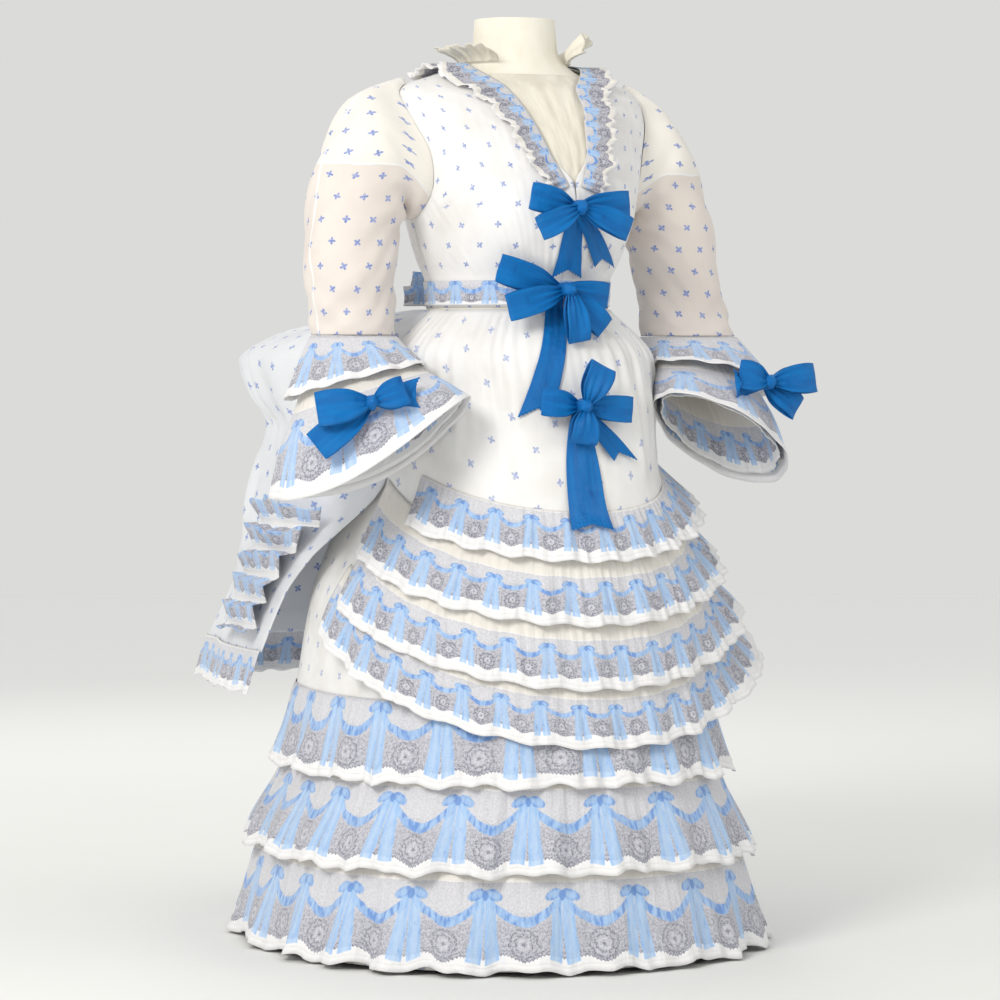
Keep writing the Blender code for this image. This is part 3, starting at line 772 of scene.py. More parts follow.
@dataclass
class BorderPrint(Finish):
    """White organdy printed with ribbon bows and swags over a lace border. Sizes are in millimetres."""

    pitch: float = REPEAT
    hem: float = 14.0
    foot: float = 17.0
    edge: float = 21.0
    rose: float = 41.0
    rose_size: float = 19.0
    swag: float = 70.0
    crown: float = 110.0
    head: float = 127.0
    ground: Colour = CLOTH_WHITE
    haze: float = 0.16

    def ribbons(self, across: Value, up: Value, streak: Value) -> list[tuple[Value, Colour]]:
        """The print's ribbon shapes, each with its colour, from the bottom layer up.

        Args:
            across: millimetres from the nearest bow's middle.
            up: millimetres above the hem.
            streak: values that run along the ribbons, from 0 to 1.

        Returns:
            Masks and colours in the order in which they are laid.
        """
        half = self.pitch / 2
        wide = self.pitch / REPEAT
        fall = self.crown - self.swag
        hang = (across * (math.pi / 2 / half)).sine() ** 0.85
        middle = self.crown - hang * fall
        swag = 1 - abs(up - middle).rise(6.0 * wide, 8.2 * wide)
        tail_top = self.crown - 4 * wide
        flare = (tail_top - up) / (tail_top - self.foot)
        inner = flare ** 3.0 * (3.2 * wide) + 0.3 * wide
        outer = flare * (10 * wide) + 14.5 * wide
        tails = ((across - inner).rise(-0.6, 0.8) * (1 - (across - outer).rise(-0.8, 0.6))
                 * (up - across * 0.12).rise(self.foot - 2, self.foot)
                 * (1 - up.rise(tail_top, tail_top + 3)))
        stripe = ((across / (outer + 1.0)) * 9).sine() * 0.5 + 0.5
        droop = (across - 12 * wide) * 0.35
        loop = (((across - 14 * wide) / (13.5 * wide)) ** 2.0
                + ((up - self.crown + droop) / (8.0 * wide)) ** 2.0)
        knot = (across / (5.0 * wide)) ** 2.0 + ((up - self.crown + 1.0 * wide) / (7.0 * wide)) ** 2.0
        loops, heart = 1 - loop.rise(0.8, 1.1), 1 - loop.rise(0.15, 0.5)
        return [
            (swag, RIBBON_MID), (swag * streak.rise(0.5, 0.62), RIBBON_DARK),
            (swag * (1 - streak.rise(0.36, 0.48)) * 0.8, RIBBON_LIGHT),
            (tails, RIBBON_LIGHT), (tails * stripe * streak.rise(0.3, 0.6) * 0.75, RIBBON_MID),
            (tails * streak.rise(0.62, 0.72) * 0.6, RIBBON_DARK),
            (loops, RIBBON_MID), (loops * streak.rise(0.48, 0.58) * 0.8, RIBBON_DARK),
            (loops * heart * 0.6, RIBBON_LIGHT), (1 - knot.rise(0.8, 1.2), RIBBON_DARK),
        ]

    def lace(self, across: Value, up: Value, speck: Value, grain: Value) -> tuple[Value, Value]:
        """How much of the cloth is under printed lace, and how dark that is.

        Args:
            across: millimetres from the nearest bow's middle.
            up: millimetres above the hem.
            speck: broken values from 0 to 1, a few millimetres across.
            grain: finer ones.

        Returns:
            The lace's ground from 0 to 1, and its dark threads from 0 to 1.
        """
        half = self.pitch / 2
        wide = self.pitch / REPEAT
        beyond = across / half
        droop = beyond.rise(0.45, 1.0) * (self.rose_size * 0.42)
        picot = abs((across * (math.pi / (5.2 * wide))).sine()) * (2.2 * wide)
        edge = self.edge + 3.0 * wide - droop + picot
        ground = (up - edge).rise(-0.7, 0.7) * (1 - up.rise(self.head - 1.5, self.head))
        low = 1 - up.rise(self.rose + self.rose_size * 0.9, self.swag + 22 * wide)
        dense = low * 0.6 + 0.32
        rim = (1 - abs(up - edge - 1.6 * wide).rise(1.0 * wide, 2.0 * wide)) * 0.5
        second = (1 - abs(up - edge - 6.5 * wide).rise(0.7 * wide, 1.6 * wide)) * 0.4
        side, high = across - half, up - self.rose
        reach = (side * side + high * high) ** 0.5
        petals = (high.math("ARCTAN2", side) * 9).sine() * (1.0 * wide)
        size = self.rose_size
        rings = ((1 - abs(reach - size + petals).rise(0.8, 2.6))
                 + (1 - abs(reach - size * 0.62 - petals).rise(0.6, 2.0)))
        clear = 1 - abs(reach - size * 0.34).rise(0.5, 3.4 * wide)
        dot = 1 - reach.rise(1.6 * wide, 3.0 * wide)
        threads = dense * (speck.rise(0.36, 0.62) * 0.75 + 0.25) + rim + second + rings * 0.6 - clear * 0.45
        threads = threads * (grain.rise(0.25, 0.7) * 0.6 + 0.38) + dot * 1.2
        return ground, (threads * ground).least(1.0).most(0.0)

    def dress(self) -> None:
        """White cloth, lace, swags, tails and bows, and a doubled white hem."""
        place, along, up = self.chart()
        wander = self.noise(place, 16, 2) - 0.5
        speck = self.noise(place, 4.2, 2)
        grain = self.noise(place, 2.1, 1)
        streak = self.noise(place, 7, 2, (1, 0.35, 1))
        cloud = self.noise(place, 120, 2)
        moved = up + wander * 3.0
        across = abs(((along + wander * 4.0) / self.pitch).part() - 0.5) * self.pitch
        ground, threads = self.lace(across, moved, speck, grain)
        colour = self.blend(cloud.rise(0.3, 0.8) * 0.25, self.ground, srgb(226, 225, 230))
        colour = self.blend(up.rise(self.head - 2, self.head + 3), colour, IVORY)
        below = 1 - up.rise(self.swag - 6, self.swag + 14)
        colour = self.blend(ground * (below * 0.4 + 0.5), colour, LACE_PALE)
        colour = self.blend(threads, colour, LACE_GREY)
        colour = self.blend(threads.rise(0.75, 1.0) * grain.rise(0.45, 0.6) * 0.55, colour, LACE_DARK)
        for mask, tone in self.ribbons(across, moved, streak):
            colour = self.blend(mask * (0.9 - self.haze * (1 - streak)), colour, tone)
        colour = self.blend(cloud * self.haze, colour, CLOTH_WHITE)
        band = 1 - up.rise(self.hem - 0.8, self.hem + 0.8)
        colour = self.blend(band, colour, CLOTH_WHITE)
        stain = self.noise(place, 150, 3).rise(0.66, 0.78) * (1 - up.rise(0, self.hem * 1.6)) * 0.5
        colour = self.blend(stain, colour, RUST)
        self.feed("Base Color", colour)
        self.feed("Roughness", grain * 0.12 + 0.66)
        self.settle(Sheen_Weight=0.25, Sheen_Roughness=0.5, Specular_IOR_Level=0.3)
        gathers = self.noise(place, 11, 2, (1, 0.14, 1)) * (1 - band * 0.5)
        height = (band * 0.16 + self.weave(along, up, 1.3) * 0.05 + self.noise(place, 30, 3) * 0.3
                  + gathers * 0.75 + up.band(self.hem - 1.6, 0.6, 0.5) * -0.1)
        self.relief(height, 0.75, 0.007)


@dataclass
class Tulle(Finish):
    """Soft cream net, finely ruched."""

    def dress(self) -> None:
        """Cream with a fine net and thin shaded pleats."""
        place, along, up = self.chart()
        net = abs(((along + up) * 1.9).sine()) * abs(((along - up) * 1.9).sine())
        pleats = self.noise(place, 9, 3, (1, 0.2, 1))
        colour = self.blend(pleats.rise(0.35, 0.7) * 0.55, TULLE, srgb(214, 205, 186))
        colour = self.blend(net * 0.18, colour, srgb(250, 247, 238))
        self.feed("Base Color", colour)
        self.feed("Roughness", pleats * 0.15 + 0.75)
        self.settle(Sheen_Weight=0.3, Specular_IOR_Level=0.2)
        self.relief(pleats * 0.8 + net * 0.15, 0.7, 0.004)


@dataclass
class SilkTaffeta(Finish):
    """Saturated blue silk ribbon with fine cross ribs and slubs."""

    def dress(self) -> None:
        """Blue silk whose slubs catch the light as painted highlights, with painted shade in its crumples.
        """
        place, _, up = self.chart()
        slubs = self.noise(place, 10, 3, (0.12, 1, 1))
        crumple = self.noise(place, 26, 3)
        # painted highlight: a lighter blue along the slubs
        colour = self.blend(slubs.rise(0.3, 0.75) * 0.5, TAFFETA, srgb(0, 132, 208))
        # painted shade: a darker blue over the crumples
        colour = self.blend(crumple.rise(0.55, 0.8) * 0.6, colour, TAFFETA_PAINTED_SHADE)
        self.feed("Base Color", colour)
        self.feed("Roughness", slubs * 0.2 + 0.34)
        self.settle(Specular_IOR_Level=0.28)
        ribs = (up * (2 * math.pi / 1.1)).sine() * 0.5 + 0.5
        self.relief(ribs * 0.06 + slubs * 0.12 + crumple * 0.9, 0.7, 0.008)


@dataclass
class Calico(Finish):
    """The dress form's smooth cream cover."""

    def dress(self) -> None:
        """Cream cotton with a faint weave and a little handling wear."""
        place, along, up = self.chart()
        cloud = self.noise(place, 70, 3)
        self.feed("Base Color", self.blend(cloud.rise(0.4, 0.75) * 0.5, FORM_CREAM, srgb(226, 218, 198)))
        self.feed("Roughness", cloud * 0.1 + 0.75)
        self.settle(Sheen_Weight=0.15, Specular_IOR_Level=0.25)
        self.relief(self.weave(along, up, 1.4) * 0.3 + cloud * 0.4, 0.3, 0.002)


@dataclass
class WaxedWood(Finish):
    """Brown wood of the stand, which reads object coordinates."""

    def dress(self) -> None:
        """Grain up the pole, with darker pores."""
        place = self.node("TexCoord", {}, {}, "Object")
        grain = self.noise(place, 14, 4, (1, 1, 0.08))
        pores = self.noise(place, 2.5, 2, (1, 1, 0.1))
        colour = self.blend(grain.rise(0.3, 0.7), WOOD_LIGHT, WOOD_DARK)
        self.feed("Base Color", self.blend(pores.rise(0.6, 0.7) * 0.5, colour, srgb(60, 36, 22)))
        self.feed("Roughness", grain * 0.2 + 0.35)
        self.relief(grain * 0.5 + pores * 0.5, 0.3, 0.001)


@dataclass
class PaintedFloor(Finish):
    """Plain pale floor."""

    def dress(self) -> None:
        """Warm white, slightly uneven, and painted paler far off, where the lamps light it less, so that it
        meets the sky at the horizon.
        """
        place = self.node("TexCoord", {}, {}, "Object")
        cloud = self.noise(place, 700, 2)
        reach = self.node("VectorMath", {"operation": "LENGTH"}, {0: place}, "Value")
        near = self.blend(cloud, srgb(238, 238, 235), srgb(234, 234, 230))
        # painted light: the floor grows paler away from the gown, standing in for lamp light on the far
        # floor
        self.feed("Base Color", self.blend(reach.rise(0.5, 6.0), near, srgb(253, 253, 252)))
        self.settle(Roughness=0.7, Specular_IOR_Level=0.2)


class Finishes:
    """The gown's materials, each made on first use."""

    def __init__(self) -> None:
        """Starts with none made."""
        self.made: dict[str, bpy.types.Material] = {}

    def of(self, finish: Finish) -> bpy.types.Material:
        """The material of a finish.

        Args:
            finish: the finish.

        Returns:
            The material, the same one each time.
        """
        if finish.name not in self.made:
            self.made[finish.name] = finish.make()
        return self.made[finish.name]


BODICE_CLOTH = Organdy("bodice organdy", column=58, drop=62, sprig=6.0, ground=srgb(243, 242, 241),
                       strength=0.7)
SKIRT_CLOTH = Organdy("skirt organdy", column=74, drop=84, sprig=7.5, ground=srgb(243, 242, 240),
                      strength=0.55)
# painted shade: the drape's sprigged organdy is a bluish grey copy, darker than the skirt's, that stands in
# for shade
DRAPE_CLOTH_PAINTED_SHADE = Organdy("drape organdy in painted shade", column=62, drop=74, sprig=7.5, ground=srgb(228, 230, 234),
                      shade=srgb(206, 208, 214))
BELL_PRINT = BorderPrint("bell border print", pitch=92, hem=11, foot=15, edge=20, rose=38, rose_size=16,
                         swag=64, crown=98, head=118)
WIDE_PRINT = BorderPrint("wide border print", hem=12, foot=15, edge=18, rose=39, rose_size=20)
NARROW_PRINT = BorderPrint("narrow border print", pitch=60, hem=10, foot=15, edge=19, rose=31,
                           rose_size=10.5, swag=50, crown=66, head=78)
RUFFLE_PRINT = BorderPrint("ruffle border print", pitch=34, hem=4, foot=27, edge=10, rose=20, rose_size=8,
                           swag=33, crown=44, head=70, ground=IVORY, haze=0.05)
FRILL_PRINT = BorderPrint("frill border print", pitch=52, hem=8, foot=11, edge=15, rose=25, rose_size=9,
                          swag=38, crown=52, head=64)
ELBOW_PRINT = BorderPrint("elbow border print", pitch=62, hem=8, foot=12, edge=16, rose=30, rose_size=12,
                          swag=50, crown=72, head=92)
BELT_PRINT = BorderPrint("belt border print", pitch=56, hem=2, foot=3, edge=5, rose=12, rose_size=6,
                         swag=20, crown=33, head=60)
NET = Tulle("cream tulle")
SILK = SilkTaffeta("blue taffeta")


# Dress form

@dataclass
class DressForm:
    """The limbless padded figure on its turned wooden stand."""

    grid: Grid = (72, 116)
    foot: float = 760.0
    foot_radius: float = 70.0
    hip: float = 800.0
    hip_room: float = 34.0

    def skin(self, across: Array, down: Array) -> Array:
        """Points on the cover, from the neck's flat cut to under the hips.

        Args:
            across: shares along the cloth.
            down: shares from head to hem.

        Returns:
            Points in millimetres.
        """
        angle = 360 * across + 180
        height = mix(NECK_CUT, self.foot, down)
        trunk = BODY.raised(angle, np.maximum(height, WAIST), -BODY.size(height, "room"))
        level = ease(1290, NECK_CUT, height)
        trunk[:, 2] = mix(trunk[:, 2], height, level)
        hip = SKIRT.point(angle, self.hip, -self.hip_room)
        turn = np.radians(angle)
        foot = np.stack([self.foot_radius * np.sin(turn), -self.foot_radius * np.cos(turn),
                         np.full(len(angle), self.foot)], axis=-1)
        waist_share = np.clip((height - self.hip) / (WAIST - self.hip), 0, 1)[:, None]
        hip_share = np.clip((height - self.foot) / (self.hip - self.foot), 0, 1)[:, None]
        low = mix(foot, hip, hip_share)
        return np.where(height[:, None] >= self.hip, mix(hip, trunk, waist_share), low)

    def build(self, finishes: Finishes) -> None:
        """Makes the figure, and gives the stand its wood.

        Args:
            finishes: the gown's materials.
        """
        mesh = bmesh.new()
        Cloth("cover", self.skin, *self.grid, closed=True).add_to(mesh)
        rims = [edge for edge in mesh.edges if edge.is_boundary]
        for edge in rims:
            edge.smooth = False
        bmesh.ops.holes_fill(mesh, edges=rims, sides=0)
        Piece("form_figure", mesh).shown("form_torso", finishes.of(Calico("form cover")), Slot.FORM)
        wood = finishes.of(WaxedWood("waxed wood"))
        for name in ("form_pole", "form_base"):
            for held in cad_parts[name].material_slots:
                held.material = wood


# Bodice

@dataclass
class Bodice:
    """Two gathered fronts with a deep V neck, and one back."""

    gap: float = 0.15
    front_grid: Grid = (96, 74)
    back_grid: Grid = (130, 62)
    front_rows: tuple = (
        (0, 925.3, 90, 925.3), (0, 963, 90, 963), (0, 1000, 90, 1000), (0, 1060, 90, 1058),
        (0.5, 1100, 78, 1074), (8.6, 1140, 69, 1106), (12, 1190, 66, 1145), (19, 1240, 70, 1188),
        (41, 1262, 80, 1224), (90, 1280, 90, 1243),
    )
    back_sides: tuple = ((90, 925.3), (90, 963), (90, 1000), (90, 1058), (102, 1074), (111, 1106),
                         (114, 1145), (110, 1188))
    knots: tuple = (0, 1 / 16, 3 / 16, 5 / 16, 8 / 16, 11 / 16, 13 / 16, 15 / 16, 1)
    shoulder: tuple = ((100, 1224), (101, 1232), (108, 1242), (134, 1238), (180, 1232), (226, 1238),
                       (252, 1242), (259, 1232), (260, 1224))
    neck: tuple = ((90, 1243), (90, 1255), (90, 1280), (126, 1274), (180, 1268), (234, 1274), (270, 1280),
                   (270, 1255), (270, 1243))

    def gathers(self, angle: Array, height: Array) -> Array:
        """Fine gathers that fan up from the waist, in millimetres.

        Args:
            angle: degrees from the centre front.
            height: heights above the floor.

        Returns:
            Millimetres outward.
        """
        fan = mix(0.62, 1.0, ease(930, 1110, height))
        spread = angle / fan
        line = np.sin(spread * 1.32 + 1.4 * np.sin(spread * 0.21) + 0.004 * (height - 925))
        line = line + 0.5 * np.sin(spread * 0.71 + 2.0 + 1.1 * np.sin(height / 37))
        size = 0.25 + 1.5 * ease(966, 990, height) * (1 - 0.8 * ease(1000, 1120, height))
        return size * (0.55 + 0.35 * line)

    def front(self, side: Side) -> Place:
        """How one front is placed, from the centre to the side seam.

        Args:
            side: the wearer's side.

        Returns:
            The placing function.
        """
        def place(across: Array, down: Array) -> Array:
            """Points of the front, whose rows run from the shoulder to the waist.

            Args:
                across: shares along the cloth.
                down: shares from head to hem.

            Returns:
                Points in millimetres.
            """
            row = (1 - down) * (len(self.front_rows) - 1)
            sizes = [smooth(row, range(len(self.front_rows)), column) for column in zip(*self.front_rows)]
            angle, height = mix(sizes[0], sizes[2], across), mix(sizes[1], sizes[3], across)
            points = BODY.point(angle, height, CLOTH + self.gathers(angle, height))
            points[:, 0] = np.maximum(points[:, 0], self.gap) * side.value
            points[:, 1] = np.minimum(points[:, 1], -self.gap)
            return points
        return place

    def back(self, across: Array, down: Array) -> Array:
        """Points of the back, from the wearer's left side seam to the right one.

        Args:
            across: shares along the cloth.
            down: shares from head to hem.

        Returns:
            Points in millimetres.
        """
        row = (1 - down) * (len(self.back_sides) + 1)
        low = np.minimum(row, 7)
        side = smooth(low, range(8), [edge[0] for edge in self.back_sides])
        angle = mix(side, 360 - side, across)
        height = smooth(low, range(8), [edge[1] for edge in self.back_sides])
        for start, line in ((7, self.shoulder), (8, self.neck)):
            share = np.clip(row - start, 0, 1)
            angle = mix(angle, np.interp(across, self.knots, [p[0] for p in line]), share)
            height = mix(height, np.interp(across, self.knots, [p[1] for p in line]), share)
        size = 0.2 + 0.9 * ease(966, 990, height) * (1 - ease(1000, 1110, height))
        points = BODY.point(angle, height, CLOTH + size * (0.5 + 0.5 * np.sin(np.radians(angle) * 62)))
        points[:, 1] = np.maximum(points[:, 1], self.gap)
        return points

    def build(self, finishes: Finishes) -> None:
        """Makes the three panels.

        Args:
            finishes: the gown's materials.
        """
        cloth = finishes.of(BODICE_CLOTH)
        for side in Side:
            front = Cloth(f"bodice_front_{side.word}", self.front(side), *self.front_grid, shaped=True)
            front.hang(cloth, Slot.SPRIGGED, Hold.GATHERED, ["belt", "neck_filling"])
        back = Cloth("bodice_back", self.back, *self.back_grid, shaped=True)
        back.hang(cloth, Slot.SPRIGGED, Hold.STRETCHED, ["form_torso"])


# Neck

@dataclass
class Neck:
    """Tulle in the V and standing round the neck, and the printed ruffle in two strips."""

    filling_rows: tuple = ((1262, 36), (1238, 22), (1190, 16), (1140, 13), (1100, 9), (1086, 5))
    edges: tuple = (
        (0.00, 3, 1096, 12, 1082), (0.14, 8.6, 1140, 20, 1128), (0.28, 12, 1190, 25, 1180),
        (0.44, 19, 1240, 36, 1226), (0.56, 41, 1262, 54, 1246), (0.70, 88, 1279, 84, 1262),
        (0.85, 126, 1274, 126, 1250), (1.00, 180, 1268, 180, 1240),
    )
    seam: float = 1281.2
    frill_height: float = 48.0
    frill_dip: float = 26.0
    ruffle_folds: int = 10
    filling_grid: Grid = (50, 76)
    frill_grid: Grid = (360, 14)
    ruffle_grid: Grid = (340, 12)

    def filling(self, across: Array, down: Array) -> Array:
        """Points of the ruched filling, from its top line to the foot of the V.

        Args:
            across: shares along the cloth.
            down: shares from head to hem.

        Returns:
            Points in millimetres.
        """
        heights, halves = zip(*self.filling_rows[::-1])
        row = down * (len(heights) - 1)
        height = smooth(row, range(len(heights)), heights[::-1])
        half = smooth(row, range(len(heights)), halves[::-1])
        t = across * 2 - 1
        ruches = np.sin(t * 17 + 1.3 * np.sin(height / 21)) * 0.5 + 0.5
        deep = 2.4 + 2 * ease(1130, 1190, height) + 1.4 * (1 - abs(t))
        return BODY.point(half * t, height, CLOTH + 0.4 - deep - 1.1 * ruches)

    def frill(self, across: Array, down: Array) -> Array:
        """Points of the standing frill, from its seam up to its free edge.

        Args:
            across: shares along the cloth.
            down: shares from head to hem.

        Returns:
            Points in millimetres.
        """
        angle = mix(41.25, 318.75, across)
        front = (1 - ease(41, 80, angle)) * (1 - ease(280, 319, angle))
        height = self.seam + self.frill_height * down - self.frill_dip * down * (1 - front)
        turn = np.radians(angle)
        crimp = gather(angle, 12, 0.6) * 12 + 3.0 * np.sin(turn * 47 + 1.5 * np.sin(turn * 9))
        ends = ease(41, 52, angle) * (1 - ease(308, 319, angle))
        height = mix(self.seam + (height - self.seam) * 0.35, height, ends) + 2.4 * down * np.sin(turn * 31)
        return BODY.point(angle, height, CLOTH + 0.6 + 20 * down + 18 * down * down + crimp * down)

    def ruffle(self, side: Side) -> Place:
        """How one strip of the ruffle is placed, from the foot of the V round to the nape.

        Args:
            side: the wearer's side.

        Returns:
            The placing function.
        """
        def place(across: Array, down: Array) -> Array:
            """Points of the strip, from its sewn edge to its hem.

            Args:
                across: shares along the cloth.
                down: shares from head to hem.

            Returns:
                Points in millimetres.
            """
            marks, *columns = zip(*self.edges)
            sizes = [smooth(across, marks, column) for column in columns]
            turn = 2 * math.pi * self.ruffle_folds
            fold = 0.5 - 0.5 * np.cos(turn * (across + 0.012 * np.sin(14 * across)))
            fine = 0.5 + 0.5 * np.sin(across * 171 + 2 * np.sin(across * 31))
            lift = 2.2 + CLOTH + (9 * fold + 4 + 6.0 * fine) * down ** 1.1
            narrow = 1.0
            if side is Side.LEFT:
                narrow = 1 - 0.22 * ease(0.30, 0.44, across) * (1 - ease(0.56, 0.70, across))
            angle = mix(sizes[0], sizes[2], down) * narrow
            angle = angle + 1.2 * down * np.sin(turn * across) + 0.8 * down * np.sin(across * 171)
            points = BODY.raised(np.minimum(angle, 179.8), mix(sizes[1], sizes[3], down), lift)
            points[:, 0] *= side.value
            return points
        return place

    def build(self, finishes: Finishes) -> None:
        """Makes the filling, the frill and both strips.

        Args:
            finishes: the gown's materials.
        """
        net = finishes.of(NET)
        fronts = ["bodice_front_left", "bodice_front_right"]
        filling = Cloth("neck_filling", self.filling, *self.filling_grid)
        filling.hang(net, Slot.TULLE, Hold.GATHERED, fronts)
        frill = Cloth("neck_tulle", self.frill, *self.frill_grid)
        frill.hang(net, Slot.TULLE, Hold.GATHERED, ["bodice_back", *fronts])
        for side in Side:
            strip = Cloth(f"neck_ruffle_{side.word}", self.ruffle(side), *self.ruffle_grid)
            rests_on = [f"bodice_front_{side.word}", "bodice_back"]
            strip.hang(finishes.of(RUFFLE_PRINT), Slot.PRINTED, Hold.GATHERED, rests_on)


# Sleeves

def spline(rings: Array, row: Array) -> Array:
    """Points on smooth curves down through rings of points.

    Args:
        rings: points by ring, then by place along the ring.
        row: where to read each place's curve, counted in rings.

    Returns:
        One point for each place.
    """
    last = len(rings) - 1
    start = np.clip(np.floor(row).astype(int), 0, last - 1)
    t = (row - start)[:, None]
    place = np.arange(rings.shape[1])
    a, b, c, d = (rings[np.clip(start + n, 0, last), place] for n in (-1, 0, 1, 2))
    return b + 0.5 * t * (c - a + t * (2 * a - 5 * b + 4 * c - d + t * (3 * (b - c) + d - a)))


@dataclass(frozen=True)
class Tube:
    """A cross section of a sleeve: its middle, which way its upper side faces, and its half sizes."""

    x: float
    y: float
    height: float
    top_x: float
    top_height: float
    tall: float
    deep: float


@dataclass(frozen=True)
class Bell:
    """A cross section of a bell, whose high edge is out to the side."""

    x: float
    y: float
    height: float
    turn: float
    tilt: float
    high: float
    outer: float
    inner: float
    drop: float


ARMHOLE = ((90, 1243), (80, 1224), (70, 1188), (66, 1145), (69, 1106), (78, 1074), (90, 1058),
           (102, 1074), (111, 1106), (114, 1145), (110, 1188), (100, 1224))


@dataclass
class Sleeve:
    """An upper sleeve, its elbow frill, its bell and the pleated layer inside that."""

    side: Side
    tubes: tuple[Tube, ...]
    bells: tuple[Bell, ...]
    inset: float
    frill_spread: float
    frill_lean: float
    column_seam: float
    seam_allowance: float = 1.05
    cap_out: float = 14.0
    armhole_middle: tuple[float, float] = (90.0, 1150.0)
    upper_grid: Grid = (88, 88)
    bell_grid: Grid = (120, 36)
    layer_grid: Grid = (240, 20)
    frill_grid: Grid = (260, 14)

    def armhole(self, share: Array, out: float, grow: float) -> Array:
        """Points over the armhole's edge.

        Args:
            share: places round the edge, from 0 to 1.
            out: distance off the body.
            grow: how much larger than the edge they lie.

        Returns:
            Points in millimetres.
        """
        index = np.arange(-3, len(ARMHOLE) + 4)
        edge = np.array([ARMHOLE[i % len(ARMHOLE)] for i in index], float)
        angle = smooth(share * len(ARMHOLE), index, edge[:, 0])
        height = smooth(share * len(ARMHOLE), index, edge[:, 1])
        middle, level = self.armhole_middle
        return BODY.raised(middle + (angle - middle) * grow, level + (height - level) * grow, out)

    def wrinkles(self, turn: Array, row: Array) -> Array:
        """Soft slanting wrinkles of the upper sleeve, in millimetres.

        Args:
            turn: radians round the sleeve.
            row: places down it, counted in rings.

        Returns:
            Millimetres outward.
        """
        bend = np.exp(-((row - 3.0) / 1.1) ** 2)
        high = np.exp(-((row - 6.2) / 0.9) ** 2)
        slant = np.sin(3 * turn + 4.2 * row + 0.8 * np.sin(2 * turn)) * (0.5 + 0.5 * bend)
        cross = np.sin(5 * turn - 5.6 * row + 1.9) * 0.5 * high
        small = np.sin(9 * turn + 6.5 * row + 1.2 * np.sin(3 * turn)) * 0.28
        return 3.0 * (slant + cross + small)

    def upper(self, across: Array, down: Array) -> Array:
        """Points of the upper sleeve, from the armhole to the elbow.

        Args:
            across: shares along the cloth.
            down: shares from head to hem.

        Returns:
            Points in millimetres.
        """
        share = (across + 0.5) % 1.0
        turn = 2 * math.pi * share
        row = down * (len(self.tubes) + 1)
        free = ease(0.8, 2.2, row) * (1 - ease(6.5, 7.0, row))
        puff = self.wrinkles(turn, row) * free + CLOTH
        rings = [self.armhole(share, LAY + 0.7, self.seam_allowance),
                 self.armhole(share, self.cap_out, 1.0)]
        for tube in self.tubes:
            up, forward = np.cos(turn) * (tube.tall + puff), np.sin(turn) * (tube.deep + puff)
            rings.append(np.stack([tube.x + up * tube.top_x, tube.y - forward,
                                   tube.height + up * tube.top_height], axis=-1))
        return self.mirrored(spline(np.array(rings), row))

    def mirrored(self, points: Array) -> Array:
        """Points drawn for the left arm, on this side."""
        return points * (self.side.value, 1, 1)

    def bell_point(self, angle: Array, along: Array, out: Array) -> Array:
        """A point of the bell, at an angle round it from its high edge.

        Args:
            angle: degrees round the bell.
            along: places down the bell, from 0 to 1.
            out: distance outward.

        Returns:
            Points in millimetres.
        """
        size = {name: smooth(along * 3, range(4), [getattr(b, name) for b in self.bells])
                for name in Bell.__dataclass_fields__}
        tilt, turn, swing = (np.radians(v) for v in (size["tilt"], angle, size["turn"]))
        level = np.cos(tilt)
        high = np.stack([-level * np.cos(swing), -level * np.sin(swing), np.sin(tilt)], axis=-1)
        cross = np.stack([np.sin(swing), -np.cos(swing), 0 * swing], axis=-1)
        width = np.where(np.sin(turn) > 0, size["outer"], size["inner"])
        centre = np.stack([size["x"], size["y"], size["height"] - size["drop"] * np.sin(turn) ** 2], axis=-1)
        points = (centre + high * ((size["high"] + out) * np.cos(turn))[:, None]
                  + cross * ((width + out) * np.sin(turn))[:, None])
        return self.mirrored(points)

    def bell(self, across: Array, down: Array) -> Array:
        """Points of the bell, with soft flutes toward its rim.

        Args:
            across: shares along the cloth.
            down: shares from head to hem.

        Returns:
            Points in millimetres.
        """
        angle = 360 * across + 180
        turn = np.radians(angle)
        flutes = 1.6 * np.sin(7 * turn + 0.7 * self.frill_lean) + 0.8 * np.sin(13 * turn + 3 * down)
        return self.bell_point(angle, down, CLOTH + (1.4 + flutes) * ease(0.3, 0.8, down))

    def layer(self, across: Array, down: Array) -> Array:
        """Points of the pleated layer inside the bell.

        Args:
            across: shares along the cloth.
            down: shares from head to hem.

        Returns:
            Points in millimetres.
        """
        angle = 360 * across + 180
        along = mix(1 / 3, 0.96, down)
        pleat = (0.5 + 0.5 * np.cos(8 * np.radians(angle))) ** 3
        fine = 0.5 + 0.5 * np.sin(40 * np.radians(angle))
        deep = self.inset + (4 + 8 * pleat + 2 * fine) * (along - 1 / 3)
        return self.bell_point(angle, along, -deep)

    def frill(self, across: Array, down: Array) -> Array:
        """Points of the elbow frill, from its seam to its hem.

        Args:
            across: shares along the cloth.
            down: shares from head to hem.

        Returns:
            Points in millimetres.
        """
        angle = 360 * across + 180
        turn = np.radians(angle)
        free = 0.12 + 0.88 * ease(-0.9, 0.2, np.sin(np.radians(angle - 20)))
        crimp = 9 * gather(angle, 9, self.frill_lean) + 1.8 * np.sin(25 * turn + 1.4 * np.sin(4 * turn))
        points = self.bell_point(angle, down / 3, 3.0 + CLOTH + (self.frill_spread + crimp) * down * free)
        points[:, 2] -= 2 * down + 1.5 * down * np.sin(12 * turn)
        return points

